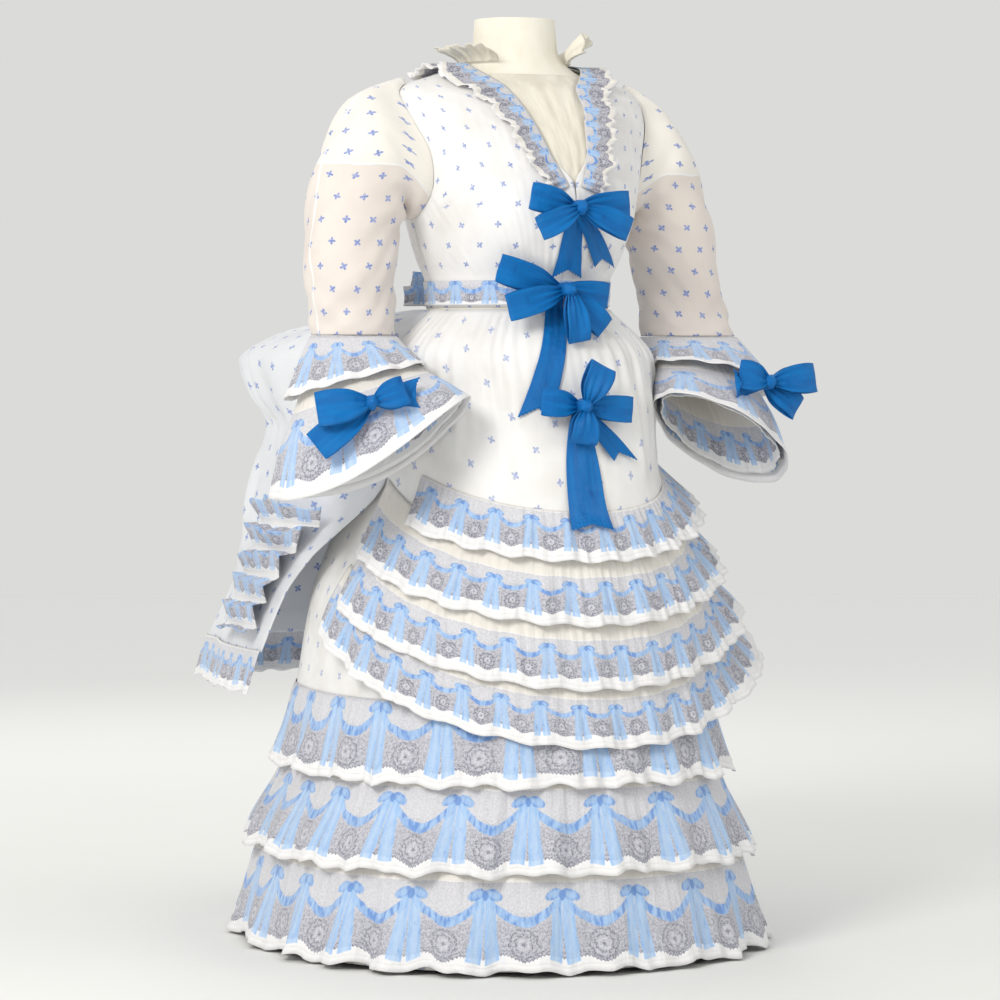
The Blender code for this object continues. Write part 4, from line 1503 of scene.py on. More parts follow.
    def build(self, finishes: Finishes) -> None:
        """Makes this side's four pieces.

        Args:
            finishes: the gown's materials.
        """
        word = self.side.word
        organdy = Organdy(f"sleeve organdy {word}", ground=PEACH, shade=srgb(216, 203, 193), column=36,
                          drop=66, sprig=6.5, cap=248.0, seam=self.column_seam)
        upper = Cloth(f"sleeve_{word}", self.upper, *self.upper_grid, closed=True, shaped=True)
        rests_on = [f"bodice_front_{word}", "bodice_back"]
        upper.hang(finishes.of(organdy), Slot.SLEEVE, Hold.GATHERED, rests_on)
        bell = Cloth(f"sleeve_bell_{word}", self.bell, *self.bell_grid, closed=True)
        bell.hang(finishes.of(BELL_PRINT), Slot.SPRIGGED, Hold.HUNG, [f"sleeve_{word}"])
        layer = Cloth(f"bell_layer_{word}", self.layer, *self.layer_grid, closed=True)
        layer.hang(finishes.of(FRILL_PRINT), Slot.TULLE, Hold.GATHERED, [f"sleeve_bell_{word}"])
        frill = Cloth(f"elbow_frill_{word}", self.frill, *self.frill_grid, closed=True)
        frill.hang(finishes.of(ELBOW_PRINT), Slot.PRINTED, Hold.GATHERED, [f"sleeve_{word}"])


SLEEVES = (
    Sleeve(Side.RIGHT, (
        Tube(230, -4, 1146, 0.44, 0.90, 84, 70), Tube(252, -6, 1100, 0.80, 0.60, 75, 66),
        Tube(266, -8, 1046, 0.97, 0.25, 69, 64), Tube(272, -10, 985, 1.00, 0.00, 66, 62),
        Tube(271, -11, 930, 1.00, 0.00, 61, 60), Tube(268, -12, 885.4, 1.00, 0.00, 58.5, 58.5),
    ), (
        Bell(268, -12, 884, 45, 0, 58.5, 58.5, 58.5, 0), Bell(276, -50, 822, 45, 14, 88, 80, 58, 2),
        Bell(281, -80, 776, 45, 20, 126, 92, 60, 14), Bell(284, -102, 728, 45, 26, 162, 100, 62, 46),
    ), 3.8, 14, -1, 215.0),
    Sleeve(Side.LEFT, (
        Tube(219, -4, 1136, 0.42, 0.91, 78, 68), Tube(238, -6, 1092, 0.76, 0.65, 70, 66),
        Tube(253, -8, 1040, 0.96, 0.28, 66, 64), Tube(264, -10, 985, 1.00, -0.05, 64, 62),
        Tube(274, -12, 930, 1.00, -0.05, 65, 62), Tube(284, -14, 885.4, 1.00, 0.00, 69, 69),
    ), (
        Bell(284, -14, 884, 30, 0, 69, 69, 69, 0), Bell(277, -56, 826, 30, 14, 84, 82, 66, 0),
        Bell(270, -104, 780, 30, 22, 112, 88, 72, 0), Bell(266, -130, 735, 30, 29, 138, 96, 80, 0),
    ), 5.2, 30, 1, 210.0),
)


# Skirt

@dataclass(frozen=True)
class Flounce:
    """A wide printed flounce: its seam and hem heights, how it stands off, and its folds."""

    name: str
    top: float
    hem: float
    spread: float
    depth: float
    lean: float
    folds: int = 21

    def place(self, across: Array, down: Array) -> Array:
        """Points of the flounce, whose seam is at the back.

        Args:
            across: shares along the cloth.
            down: shares from head to hem.

        Returns:
            Points in millimetres.
        """
        angle = 360 * across + 180
        turn = np.radians(angle)
        deep = self.depth * gather(angle, self.folds, self.lean)
        small = 6.5 * rumple(angle, down, self.lean) * down + 1.6 * rumple(angle * 2, down, self.lean + 1)
        out = LAY + CLOTH + self.spread * down + (deep + small) * down ** 1.1
        puckers = 1.2 + 1.2 * np.sin(turn * 95 + 3 * np.sin(turn * 5))
        out = out + puckers * (1 - down) * ease(0, 0.1, down)
        sway = 3.2 * np.sin(turn * 17 + self.lean) + 2.2 * np.sin(turn * 39 + self.lean)
        return SKIRT.point(angle, mix(self.top, self.hem + 2, down) + sway * down, out)


@dataclass(frozen=True)
class Tier:
    """A printed tier of the apron, which climbs to the sides and wings out at the wearer's left."""

    name: str
    top: float
    hem: float
    rise: float
    start: float
    wing: float
    spread: float
    depth: float
    lean: float
    folds: int = 22
    end: float = 89.6

    def place(self, across: Array, down: Array) -> Array:
        """Points of the tier, from the wearer's right side to the left.

        Args:
            across: shares along the cloth.
            down: shares from head to hem.

        Returns:
            Points in millimetres.
        """
        angle = mix(self.start, self.end, across)
        height = mix(self.top, self.hem, down) + self.rise * (angle / 90) ** 2
        wing = self.wing * down * ease(34, 92, angle) + 10 * down * ease(40, 88, -angle)
        deep = self.depth * gather(angle, self.folds, self.lean)
        small = 4.0 * rumple(angle * 1.3, down, self.lean)
        out = 2 * LAY + CLOTH + self.spread * down + wing + (deep + small) * down
        puckers = 1.0 + 1.0 * np.sin(np.radians(angle) * 117 + 3 * np.sin(np.radians(angle) * 7))
        out = out + puckers * (1 - down) * ease(0, 0.1, down)
        height = height + 2.4 * down * np.sin(np.radians(angle) * 27 + self.lean)
        return SKIRT.point(angle, height, out)


@dataclass
class Skirt:
    """Underskirt, three wide flounces, the apron and its four tiers."""

    flounces: tuple[Flounce, ...] = (
        Flounce("flounce_1", 372, 256, 11, 17, 0.3), Flounce("flounce_2", 270, 137, 12, 20, 1.7),
        Flounce("flounce_3", 150, 6, 12, 22, 2.6),
    )
    tiers: tuple[Tier, ...] = (
        Tier("apron_tier_1", 636, 567, 90, -68, 52, 14, 10, 0.2),
        Tier("apron_tier_2", 580, 478, 104, -88, 62, 13, 10, 1.4),
        Tier("apron_tier_3", 491, 389, 116, -90, 76, 13, 10, 2.6),
        Tier("apron_tier_4", 402, 309, 136, -96, 96, 16, 10, 3.8),
    )
    creases: tuple[Crease, ...] = (
        Crease(-66, -6, 900, 640, 3.2, -5.5), Crease(-50, -3, 915, 700, 2.4, -4.5),
        Crease(-38, 6, 905, 655, 2.8, -5.0), Crease(16, 4, 905, 800, 2.2, -3.5),
        Crease(24, 10, 910, 655, 2.6, -5.5), Crease(36, 3, 900, 720, 3.4, -6.0),
        Crease(49, -4, 912, 690, 2.4, -5.0), Crease(61, 7, 905, 730, 3.0, -5.5),
        Crease(74, 2, 905, 740, 2.6, -4.5),
    )
    hem: float = 6.0
    edge_gap: float = 0.15
    apron_hem: float = 388.0
    apron_climb: float = 104.0
    under_grid: Grid = (128, 60)
    flounce_grid: Grid = (500, 18)
    apron_grid: Grid = (210, 72)
    tier_grid: Grid = (340, 18)

    def under(self, across: Array, down: Array) -> Array:
        """Points of the underskirt."""
        return SKIRT.point(360 * across + 180, mix(SKIRT_TOP, self.hem, down), CLOTH - 0.4)

    def apron(self, across: Array, down: Array) -> Array:
        """Points of the apron, gathered at the waist and curved up to its sides.

        Args:
            across: shares along the cloth.
            down: shares from head to hem.

        Returns:
            Points in millimetres.
        """
        angle = mix(-90, 90, across)
        height = mix(SKIRT_TOP, self.apron_hem + self.apron_climb * (angle / 90) ** 2, down)
        bare = ease(650, 690, height - 80 * (angle / 90) ** 2)
        puckers = 0.5 + 0.5 * np.sin(angle * 1.15 + 1.6 * np.sin(angle * 0.17) + height / 70)
        near_bow = np.exp(-((angle + 8) / 17) ** 2)
        waves = 2.6 * puckers * ease(700, 890, height) * (1 - 0.85 * ease(905, 920, height))
        lift = (waves * (1 - 0.7 * near_bow) + creased(self.creases, angle, height)) * bare
        points = SKIRT.point(angle, height, LAY + CLOTH + np.maximum(lift, 0))
        points[:, 1] -= np.where(abs(angle) > 89, self.edge_gap, 0)
        return points

    def build(self, finishes: Finishes) -> None:
        """Makes the pieces from the waist down.

        Args:
            finishes: the gown's materials.
        """
        organdy = finishes.of(SKIRT_CLOTH)
        under = Cloth("underskirt", self.under, *self.under_grid, closed=True)
        under.hang(organdy, Slot.SPRIGGED, Hold.HUNG, ["bodice_back", "belt"])
        for flounce in self.flounces:
            piece = Cloth(flounce.name, flounce.place, *self.flounce_grid, closed=True)
            piece.hang(finishes.of(WIDE_PRINT), Slot.PRINTED, Hold.GATHERED, ["underskirt"])
        apron = Cloth("apron", self.apron, *self.apron_grid, shaped=True)
        apron.hang(organdy, Slot.SPRIGGED, Hold.GATHERED, ["underskirt", "belt"])
        for tier in self.tiers:
            piece = Cloth(tier.name, tier.place, *self.tier_grid)
            piece.hang(finishes.of(NARROW_PRINT), Slot.PRINTED, Hold.GATHERED, ["apron"])


# Back drape

@dataclass(frozen=True)
class Puff:
    """A level outline of the back drape, squarer than an oval."""

    height: float
    side: float
    back: float
    power: float
    kick: float
    edge: float


@dataclass
class Drape:
    """The puffed back drape with its frill, and the ruffled cascades down its front edges."""

    puffs: tuple[Puff, ...] = (
        Puff(416, 290, 674, 3.0, 46, 104.5), Puff(500, 276, 640, 3.0, 24, 101.0),
        Puff(600, 260, 606, 3.0, 4, 93.0), Puff(700, 246, 580, 3.0, 0, 90.0),
        Puff(750, 238, 560, 3.0, 0, 90.0), Puff(800, 252, 614, 3.0, 0, 90.0),
        Puff(850, 262, 640, 3.0, 0, 90.0), Puff(888, 238, 556, 2.8, 0, 90.0),
        Puff(908, 200, 420, 2.5, 0, 90.0), Puff(919, 160, 250, 2.2, 0, 90.0),
        Puff(WAIST, 135.6, 107.6, 2.0, 0, 90.0),
    )
    creases: tuple[Crease, ...] = (
        Crease(112, 8, 880, 560, 4.5, -7.0), Crease(128, -6, 860, 470, 4.0, 6.0),
        Crease(143, 7, 890, 520, 5.0, -8.0), Crease(160, -9, 870, 430, 4.0, 7.0),
        Crease(176, 8, 885, 450, 5.0, -8.0), Crease(194, -5, 870, 440, 4.5, 7.0),
        Crease(212, 9, 890, 500, 5.0, -8.0), Crease(229, -8, 865, 450, 4.0, 6.0),
        Crease(246, 6, 885, 540, 4.5, -7.0),
        Crease(150, -20, 770, 560, 6.0, -9.0), Crease(205, 22, 760, 540, 6.0, -9.0),
        Crease(120, 14, 700, 430, 5.0, -7.0), Crease(238, -15, 720, 440, 5.0, -7.0),
    )
    cascade_outs: tuple[float, float] = (36.0, 1.2)
    cascade_steps: int = 10
    cascade_top: float = 640.0
    cascade_foot: float = 446.0
    cascade_ruffle: float = 42.0
    frill_top: float = 418.0
    frill_drop: float = 64.0
    edge_gap: float = 0.15
    drape_grid: Grid = (210, 124)
    frill_grid: Grid = (420, 14)
    cascade_grid: Grid = (48, 120)

    def size(self, height: Array, name: str) -> Array:
        """One of the outlines' sizes at a height."""
        return smooth(height, [p.height for p in self.puffs], [getattr(p, name) for p in self.puffs])

    def point(self, share: Array, height: Array, out: Array) -> Array:
        """Points on the drape, from its right front edge (0) to its left one (1).

        Args:
            share: places along the drape.
            height: heights above the floor.
            out: distance outward.

        Returns:
            Points in millimetres.
        """
        base = np.maximum(height, self.puffs[0].height)
        edge = self.size(base, "edge")
        angle = mix(edge, 360 - edge, share)
        turn = np.radians(angle)
        side, back, power = (self.size(base, name) for name in ("side", "back", "power"))
        lift = out + self.size(base, "kick") * np.exp(-((abs(angle - 180) - 24) / 10) ** 2)
        x = side * np.abs(np.sin(turn)) ** (2 / power) * np.sign(np.sin(turn))
        y = back * np.abs(np.cos(turn)) ** (2 / power)
        under = SKIRT.point(angle, height, LAY + CLOTH)
        near = 1 - ease(0, 10, np.minimum(angle, 360 - angle) - edge)
        hug = near * ease(560, 690, height)
        across = np.sign(x) * np.abs(x / side) ** (power - 1) / side
        behind = np.abs(y / back) ** (power - 1) / back
        length = np.hypot(across, behind)
        return np.stack([mix(x, under[:, 0], hug) + lift * across / length,
                         mix(y, under[:, 1], hug) + lift * behind / length, height], axis=-1)

    def cloth(self, across: Array, down: Array) -> Array:
        """Points of the drape, gathered at the waist and creased down its puffs.

        Args:
            across: shares along the cloth.
            down: shares from head to hem.

        Returns:
            Points in millimetres.
        """
        height = mix(SKIRT_TOP, self.puffs[0].height, down ** 0.9)
        edge = self.size(np.maximum(height, self.puffs[0].height), "edge")
        angle = mix(edge, 360 - edge, across)
        inside = ease(0, 0.06, across) * (1 - ease(0.94, 1, across))
        puckers = (5 * np.sin(angle * 0.55 + 1.8 * np.sin(angle * 0.11))
                   * np.sin(math.pi * ease(690, 921, height)))
        tucks = 3 * np.sin(angle * 0.8 + 2) * np.exp(-((height - 748) / 26) ** 2)
        lift = creased(self.creases, angle, height) + puckers + tucks
        points = self.point(across, height, CLOTH + lift * inside)
        points[:, 1] += np.where((across < 0.002) | (across > 0.998), self.edge_gap, 0)
        return points

    def frill(self, across: Array, down: Array) -> Array:
        """Points of the frill along the drape's hem.

        Args:
            across: shares along the cloth.
            down: shares from head to hem.

        Returns:
            Points in millimetres.
        """
        angle = 360 * across
        deep = 12 * gather(angle, 15, 0.9) + 2.4 * rumple(angle, down, 0.9)
        height = self.frill_top - self.frill_drop * down + 2 * down * np.sin(np.radians(angle) * 26)
        return self.point(across, height, LAY + 1.8 + CLOTH + (9 + deep) * down)

    def cascade(self, first: float, last: float, low: float) -> tuple[Place, Place]:
        """How a cascade is placed, and how its print climbs each of its ruffles.

        Args:
            first: its first edge along the drape, from 0 to 1.
            last: its other edge.
            low: how far its valleys stand off the drape.

        Returns:
            The placing function, and a function that gives millimetres above the nearest hem.
        """
        step = (self.cascade_top - self.cascade_foot) / self.cascade_steps

        def place(across: Array, down: Array) -> Array:
            """Points of a zigzag of ruffles, one below another.

            Args:
                across: shares along the cloth.
                down: shares from head to hem.

            Returns:
                Points in millimetres.
            """
            row = down * self.cascade_steps
            start = np.minimum(np.floor(row), self.cascade_steps - 1)
            t = row - start
            ends = []
            for index in (start, start + 1):
                odd = index % 2
                high, slope = self.cascade_outs
                out = np.where(odd == 1, low, high - slope * index)
                ends.append((self.cascade_top - step * index - 14 * odd, out))
            height, out = (mix(a, b, t) for a, b in zip(*ends))
            proud = (out - low) / 30
            ruffle = np.floor((row + 1) / 2)
            wave = np.sin(across * 19 + 1.7 * ruffle) * 5.0 * proud
            sag = (5.5 * np.sin(across * 4.3 + 2.4 * ruffle) - 3 * np.cos(across * 8.7 + ruffle)) * proud
            share = mix(first, last, across) + 0.006 * np.sin(3.1 * ruffle) * proud
            return self.point(share, height + wave * 0.8 + sag, LAY + CLOTH + out + wave)

        def climb(across: Array, down: Array) -> Array:
            """Millimetres from the ruffle's free hem."""
            return (1 - abs(((down * self.cascade_steps + 1) % 2) - 1)) * self.cascade_ruffle

        return place, climb

    def build(self, finishes: Finishes) -> None:
        """Makes the drape, its frill and both cascades.

        Args:
            finishes: the gown's materials.
        """
        drape = Cloth("back_drape", self.cloth, *self.drape_grid, shaped=True)
        # painted shade: the drape is hung in the darker copy of the sprigged organdy
        drape.hang(finishes.of(DRAPE_CLOTH_PAINTED_SHADE), Slot.SPRIGGED, Hold.GATHERED, ["underskirt", "belt"])
        printed = finishes.of(FRILL_PRINT)
        frill = Cloth("drape_frill", self.frill, *self.frill_grid)
        frill.hang(printed, Slot.PRINTED, Hold.GATHERED, ["back_drape"])
        for word, first, last, low in (("right", 0.02, 0.12, 8), ("left", 0.88, 0.98, 7)):
            place, climb = self.cascade(first, last, low)
            cascade = Cloth(f"side_cascade_{word}", place, *self.cascade_grid, rises=climb)
            cascade.hang(printed, Slot.PRINTED, Hold.FOLDED, ["back_drape"])


# Belt, sash and bows

@dataclass(frozen=True)
class Frame:
    """Where a bow sits: its middle, and the directions across it, up it and away from the cloth."""

    origin: Array
    right: Array
    up: Array
    away: Array

    def point(self, across: Array, high: Array, out: Array) -> Array:
        """Points given by their measures in the frame."""
        return (self.origin + np.multiply.outer(across, self.right) + np.multiply.outer(high, self.up)
                + np.multiply.outer(out, self.away))


@dataclass(frozen=True)
class Loop:
    """A ribbon loop: its angle in the bow's plane, how far it reaches, its width and its layer."""

    angle: float
    reach: float
    width: float
    layer: int


@dataclass(frozen=True)
class Tail:
    """A ribbon tail through points (across, up, width, lift), with a forked and pinked end."""

    points: tuple[tuple[float, float, float, float], ...]
    fork: float


@dataclass
class Bow:
    """Loops and tails of one ribbon round a knot."""

    node: str
    place: Frame
    start: float
    loops: tuple[Loop, ...]
    tails: tuple[Tail, ...] = ()
    table: bool = False
    knot: float = 9.0
    deep: float = 15.0
    thick: float = 0.6
    loop_grid: Grid = (14, 44)
    tail_grid: Grid = (44, 46)
    knot_grid: Grid = (32, 12)
    path: tuple = ((0.0, 0.50), (0.35, 0.95), (0.75, 0.95), (1.0, 0.50), (0.75, 0.10), (0.35, 0.04),
                   (0.0, 0.18))
    wide: tuple = (0.30, 0.85, 1.0, 0.96, 1.0, 0.85, 0.30)

    def loop(self, loop: Loop) -> Place:
        """How one loop is placed: across its width, and round it from the knot and back.

        Args:
            loop: the loop's sizes.

        Returns:
            The placing function.
        """
        turn = math.radians(loop.angle)
        alongs = [mix(self.knot * 0.4, loop.reach, a) for a, _ in self.path]
        outs = [self.start + self.deep * (loop.layer + 0.9 * b) for _, b in self.path]
        rings = np.array([[a, o, w] for a, o, w in zip(alongs, outs, self.wide)])

        def place(across: Array, down: Array) -> Array:
            """Points of the loop, pleated where it leaves the knot.

            Args:
                across: shares along the cloth.
                down: shares from head to hem.

            Returns:
                Points in millimetres.
            """
            rows = np.repeat(rings[:, None, :], len(across), axis=1)
            along, out, wide = spline(rows, down * (len(rings) - 1)).T
            side = across - 0.5
            near = 1 - np.clip((along - self.knot * 0.4) / (loop.reach * 0.75), 0, 1)
            pleats = np.sin(side * 21 + 1.3 * loop.layer + loop.angle) * 2.4 * near
            curl = -1.6 * np.cos(side * math.pi) + 1.1 * np.sin(side * 6 + along * 0.09)
            high = side * loop.width * wide
            return self.place.point(along * math.cos(turn) - high * math.sin(turn),
                                    along * math.sin(turn) + high * math.cos(turn), out + pleats + curl)
        return place

    def tail(self, tail: Tail) -> Place:
        """How one tail is placed: across its width, and down to its forked end.

        Args:
            tail: the tail's points and fork.

        Returns:
            The placing function.
        """
        points = np.array(tail.points, float)

        def place(across: Array, down: Array) -> Array:
            """Points of the tail, its end pinked in a zigzag.

            Args:
                across: shares along the cloth.
                down: shares from head to hem.

            Returns:
                Points in millimetres.
            """
            rows = np.repeat(points[:, None, :], len(across), axis=1)
            row = down * (len(points) - 1)
            side = across - 0.5
            last = points[-2, :2] - points[-1, :2]
            last = last / np.linalg.norm(last)
            pink = 2.2 * abs(((across * 11) % 1.0) - 0.5) * 2
            back = (tail.fork * (1 - abs(side) * 2) + pink) * ease(0.82, 1.0, down)
            middle, high, wide, lift = spline(rows, row).T
            ripple = (np.sin(side * 7 + down * 5) * ease(0.1, 0.5, down)
                      + 1.2 * np.sin(side * 17) * (1 - down) ** 2)
            if not self.table:
                return self.place.point(middle + last[0] * back, high + side * wide + last[1] * back,
                                        lift + CLOTH + np.maximum(ripple, -1))
            across_mm, height = middle + side * wide + last[0] * back, high + last[1] * back
            spots = []
            for form in (SKIRT, BODY):
                angle = np.degrees(np.arcsin(across_mm / form.size(height, "side")))
                spots.append(form.point(angle, height, lift + CLOTH + np.maximum(ripple, -1)))
            return np.where(height[:, None] > WAIST, spots[1], spots[0])
        return place

    def ball(self) -> Place:
        """How the knot is placed: round it, and from its back to its front.

        Returns:
            The placing function.
        """
        low = self.start - 6 if self.table else 0.0
        top = max(loop.layer for loop in self.loops) + 1
        high = low + 7 + self.deep * top

        def place(across: Array, down: Array) -> Array:
            """Points of a rounded, creased knot.

            Args:
                across: places round the knot, from 0 to 1.
                down: places from its back to its front.

            Returns:
                Points in millimetres.
            """
            turn = 2 * math.pi * across
            size = smooth(down, (0, 0.3, 0.75, 1), (0.7, 1.0, 1.0, 0.35))
            reach = self.knot * (size + 0.07 * np.sin(5 * turn + 3 * down) * size)
            return self.place.point(reach * np.cos(turn), 1.15 * reach * np.sin(turn), mix(low, high, down))
        return place

    def piece(self) -> Piece:
        """All of the bow as one piece.

        Returns:
            The piece, not yet shown.
        """
        mesh = bmesh.new()
        cloths = []
        for k, loop in enumerate(self.loops):
            cloths.append(Cloth(f"loop {k}", self.loop(loop), *self.loop_grid, ribbon=True))
        for k, tail in enumerate(self.tails):
            cloths.append(Cloth(f"tail {k}", self.tail(tail), *self.tail_grid, ribbon=True))
        for cloth in cloths:
            cloth.add_to(mesh)
        verts = Cloth("knot", self.ball(), *self.knot_grid, closed=True).add_to(mesh)
        rims = {edge for vert in verts for edge in vert.link_edges if edge.is_boundary}
        bmesh.ops.holes_fill(mesh, edges=list(rims), sides=0)
        return Piece(f"{self.node}_ribbon", mesh, cloths, self.thick)

    def build(self, finish: bpy.types.Material, slot: Slot, rests_on: Sequence[str]) -> None:
        """Makes the bow and puts it in the scene.

        Args:
            finish: its material.
            slot: the record's slot that it takes its finish from.
            rests_on: the nodes that it rests on.
        """
        piece = self.piece()
        piece.shown(self.node, finish, slot)
        piece.declared(Hold.FOLDED, rests_on)


def on_front(form: Form, across: float, height: float) -> Array:
    """A point on the front of a form at a distance from its centre line."""
    angle = math.degrees(math.asin(across / float(form.size(height, "side"))))
    return form.point(angle, height)


RIGHTWARD, UPWARD, FRONTWARD = np.array([1.0, 0, 0]), np.array([0, 0, 1.0]), np.array([0, -1.0, 0])


@dataclass
class Ribbons:
    """Belt, back sash bow, three taffeta bows down the front and one on each bell."""

    front: tuple[tuple[str, Form, float, float, float, tuple[Loop, ...], tuple[Tail, ...]], ...] = (
        ("bow_neck", BODY, -8, 1066, 9.8,
         (Loop(168, 76, 40, 0), Loop(205, 76, 36, 1), Loop(4, 86, 40, 0), Loop(-22, 84, 36, 1)),
         (Tail(((-8, 1064, 12, 8), (-4, 1040, 26, 4), (2, 1000, 36, 4), (4, 966, 46, 7)), 12),
          Tail(((-6, 1065, 12, 14), (12, 1044, 26, 9), (36, 1022, 34, 5), (70, 982, 46, 7)), 16))),
        ("bow_waist", BODY, -8, 950, 9.9,
         (Loop(163, 106, 42, 0), Loop(196, 98, 40, 1), Loop(-6, 78, 38, 0), Loop(-41, 84, 36, 1),
          Loop(-80, 76, 36, 2)),
         (Tail(((-8, 949, 12, 9), (-13, 920, 26, 6), (-22, 890, 32, 5), (-37, 850, 38, 5),
                (-70, 768, 44, 6)), 14),)),
        ("bow_apron", SKIRT, -8, 785, 10.8,
         (Loop(65, 64, 44, 1), Loop(174, 64, 40, 0), Loop(-4, 84, 38, 0), Loop(-97, 54, 44, 1)),
         (Tail(((-8, 784, 12, 9), (-8, 752, 34, 6), (-8, 700, 50, 5), (-8, 645, 56, 8),
                (-8, 610, 60, 19)), 8),
          Tail(((-5, 783, 11, 17), (14, 761, 26, 12), (34, 741, 38, 7), (64, 706, 46, 8)), 16))),
    )
    bells: tuple[tuple[str, Array, Array, tuple[Loop, ...], tuple[Tail, ...]], ...] = (
        ("right", np.array([-318.0, -172, 788]), np.array([-0.36, -0.92, 0.16]),
         (Loop(188, 78, 50, 1), Loop(218, 98, 46, 0), Loop(20, 50, 42, 1)),
         (Tail(((4, 4, 14, 8), (40, 12, 34, 6), (70, 16, 44, 8)), 14),)),
        ("left", np.array([311.0, -166, 812]), np.array([0.04, -0.98, 0.18]),
         (Loop(4, 80, 44, 1), Loop(-36, 66, 40, 0), Loop(168, 54, 44, 1)),
         (Tail(((-4, -2, 14, 8), (-42, -3, 34, 16), (-70, -4, 42, 34)), 14),)),
    )
    sash: tuple[Loop, ...] = (Loop(-2, 122, 30, 0), Loop(10, 104, 32, 1), Loop(182, 122, 30, 0),
                              Loop(170, 104, 32, 1))
    belt_top: float = 963.5
    belt_grid: Grid = (200, 14)
    sash_height: float = 948.0
    sash_start: float = 5.0
    bell_start: float = 6.0

    def belt(self, across: Array, down: Array) -> Array:
        """Points of the belt, softly creased along its length.

        Args:
            across: shares along the cloth.
            down: shares from head to hem.

        Returns:
            Points in millimetres.
        """
        angle = 360 * across + 180
        height = mix(self.belt_top, WAIST + 3, down)
        crease = 0.35 * np.sin(down * 14 + 1.2 * np.sin(np.radians(angle) * 3))
        return BODY.point(angle, height, LAY + CLOTH + 0.3 + crease)

    def bell_frame(self, side: str, origin: Array, away: Array) -> Frame:
        """Where a bell bow sits, moved so that it is as far off the bell as its CAD solid is.

        Args:
            side: the wearer's side, as a word.
            origin: the bow's middle on the drawing.
            away: the direction off the cloth.

        Returns:
            The moved frame.
        """
        away = away / np.linalg.norm(away)
        across = np.cross(UPWARD, away)
        across /= np.linalg.norm(across)
        low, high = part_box(f"bell_bow_{side}")
        middle = np.array((low + high) / 2) / MM
        loose = Frame(origin, across, np.cross(away, across), away)
        return Frame(origin + away * self.shift(side, loose, middle), across, loose.up, away)

    def shift(self, side: str, loose: Frame, middle: Array) -> float:
        """How far along its away direction a bell bow has to move to share a box's middle.

        Args:
            side: the wearer's side, as a word.
            loose: the frame before it is moved.
            middle: the middle of the CAD solid's box.

        Returns:
            Millimetres.
        """
        loops, tails = next((b[3], b[4]) for b in self.bells if b[0] == side)
        mesh = Bow(f"bell_bow_{side}", loose, self.bell_start, loops, tails).piece().mesh
        points = np.array([v.co for v in mesh.verts]) / MM
        mesh.free()
        return float(np.dot(middle - (points.min(0) + points.max(0)) / 2, loose.away))

    def build(self, finishes: Finishes) -> None:
        """Makes the belt and every bow.

        Args:
            finishes: the gown's materials.
        """
        printed, silk = finishes.of(BELT_PRINT), finishes.of(SILK)
        belt = Cloth("belt", self.belt, *self.belt_grid, closed=True)
        rests_on = ["bodice_back", "bodice_front_left", "bodice_front_right"]
        belt.hang(printed, Slot.PRINTED, Hold.STRETCHED, rests_on)
        for name, form, across, height, start, loops, tails in self.front:
            place = Frame(on_front(form, across, height), RIGHTWARD, UPWARD, FRONTWARD)
            host = "apron" if name == "bow_apron" else "belt"
            bow = Bow(name, place, start, loops, tails, table=True)
            bow.build(silk, Slot.TAFFETA, [host])
        behind = Frame(BODY.point(180, self.sash_height), -RIGHTWARD, UPWARD, -FRONTWARD)
        Bow("sash_bow", behind, self.sash_start, self.sash).build(printed, Slot.PRINTED, ["belt"])
        for side, origin, away, loops, tails in self.bells:
            place = self.bell_frame(side, origin, away)
            bow = Bow(f"bell_bow_{side}", place, self.bell_start, loops, tails)
            bow.build(silk, Slot.TAFFETA, [f"sleeve_bell_{side}"])


# Studio

@dataclass(frozen=True)
class Lamp:
    """A square soft light: where it stands and how wide it is in metres, its watts and its tint."""

    name: str
    place: tuple[float, float, float]
    size: float
    watts: float
    tint: Colour


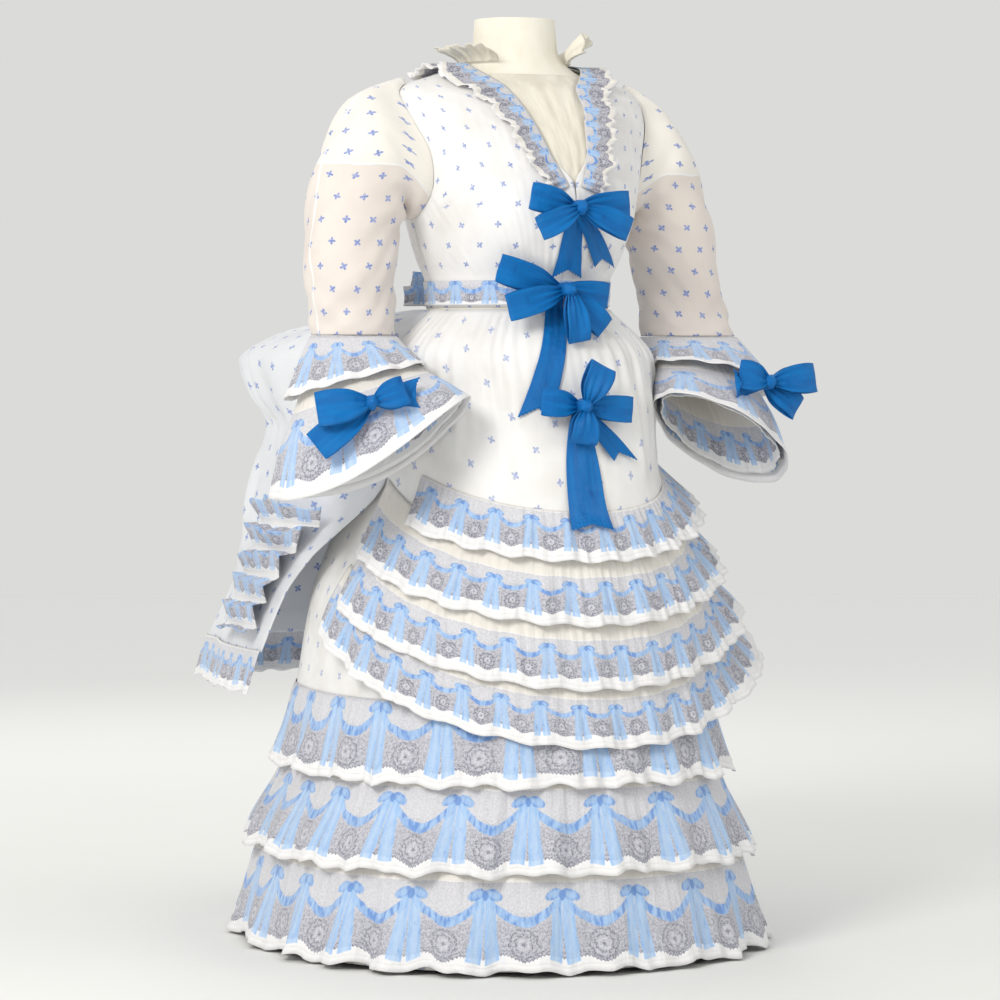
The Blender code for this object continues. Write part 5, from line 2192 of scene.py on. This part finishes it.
@dataclass
class Studio:
    """Pale floor, soft lights and the photograph's view."""

    floor_radius: float = 9.0
    azimuth: float = 28.0
    distance: float = 6.0
    eye: float = 0.85
    film: float = 36.0
    frame_width: float = 1.46
    shift: tuple[float, float] = (-0.015, -0.14)
    sky: Colour = srgb(236, 236, 234)
    sky_strength: float = 0.84
    aim: float = 0.75
    lamps: tuple[Lamp, ...] = (
        Lamp("key light", (-3.6, -2.4, 2.9), 1.5, 120, (1.0, 0.98, 0.95)),
        Lamp("fill light", (2.8, -3.4, 2.2), 2.4, 16, (0.95, 0.97, 1.0)),
        Lamp("back light", (0.8, 3.4, 2.8), 2.0, 26, (1.0, 1.0, 1.0)),
    )

    def floor(self, finishes: Finishes) -> None:
        """A plain round floor.

        Args:
            finishes: the gown's materials.
        """
        mesh = bmesh.new()
        bmesh.ops.create_circle(mesh, cap_ends=True, segments=96, radius=self.floor_radius)
        data = bpy.data.meshes.new("studio_floor")
        mesh.to_mesh(data)
        mesh.free()
        data.materials.append(finishes.of(PaintedFloor("studio floor paint")))
        made = bpy.data.objects.new("studio_floor", data)
        bpy.context.scene.collection.objects.link(made)

    def light(self, lamp: Lamp) -> None:
        """Puts a lamp in the scene, aimed at the gown's middle.

        Args:
            lamp: the lamp's sizes.
        """
        data = bpy.data.lights.new(lamp.name, "AREA")
        data.size = lamp.size
        data.energy = lamp.watts
        data.color = lamp.tint
        made = bpy.data.objects.new(lamp.name, data)
        place = Vector(lamp.place)
        made.location = place
        made.rotation_euler = (Vector((0, 0, self.aim)) - place).to_track_quat("-Z", "Y").to_euler()
        bpy.context.scene.collection.objects.link(made)

    def view(self) -> None:
        """The camera, level and turned as the photograph's."""
        data = bpy.data.cameras.new("camera")
        data.lens = self.film * self.distance / self.frame_width
        data.sensor_width = self.film
        data.shift_x, data.shift_y = self.shift
        turn = math.radians(self.azimuth)
        made = bpy.data.objects.new("camera", data)
        made.location = (-math.sin(turn) * self.distance, -math.cos(turn) * self.distance, self.eye)
        made.rotation_euler = (math.pi / 2, 0, -turn)
        bpy.context.scene.collection.objects.link(made)
        bpy.context.scene.camera = made

    def build(self, finishes: Finishes) -> None:
        """Sets the floor, the lights and the camera.

        Args:
            finishes: the gown's materials.
        """
        self.floor(finishes)
        for lamp in self.lamps:
            self.light(lamp)
        world = bpy.data.worlds.new("studio")
        world.use_nodes = True
        background = world.node_tree.nodes["Background"]
        background.inputs["Color"].default_value = (*self.sky, 1)
        background.inputs["Strength"].default_value = self.sky_strength
        bpy.context.scene.world = world
        bpy.context.scene.view_settings.view_transform = "Standard"
        self.view()


def main() -> None:
    """Builds every sub-assembly in the order in which it is put on."""
    logging.basicConfig(level=logging.INFO, format="%(name)s: %(message)s")
    finishes = Finishes()
    DressForm().build(finishes)
    Skirt().build(finishes)
    Drape().build(finishes)
    Bodice().build(finishes)
    Neck().build(finishes)
    for sleeve in SLEEVES:
        sleeve.build(finishes)
    Ribbons().build(finishes)
    Studio().build(finishes)


if __name__ == "__main__":
    main()
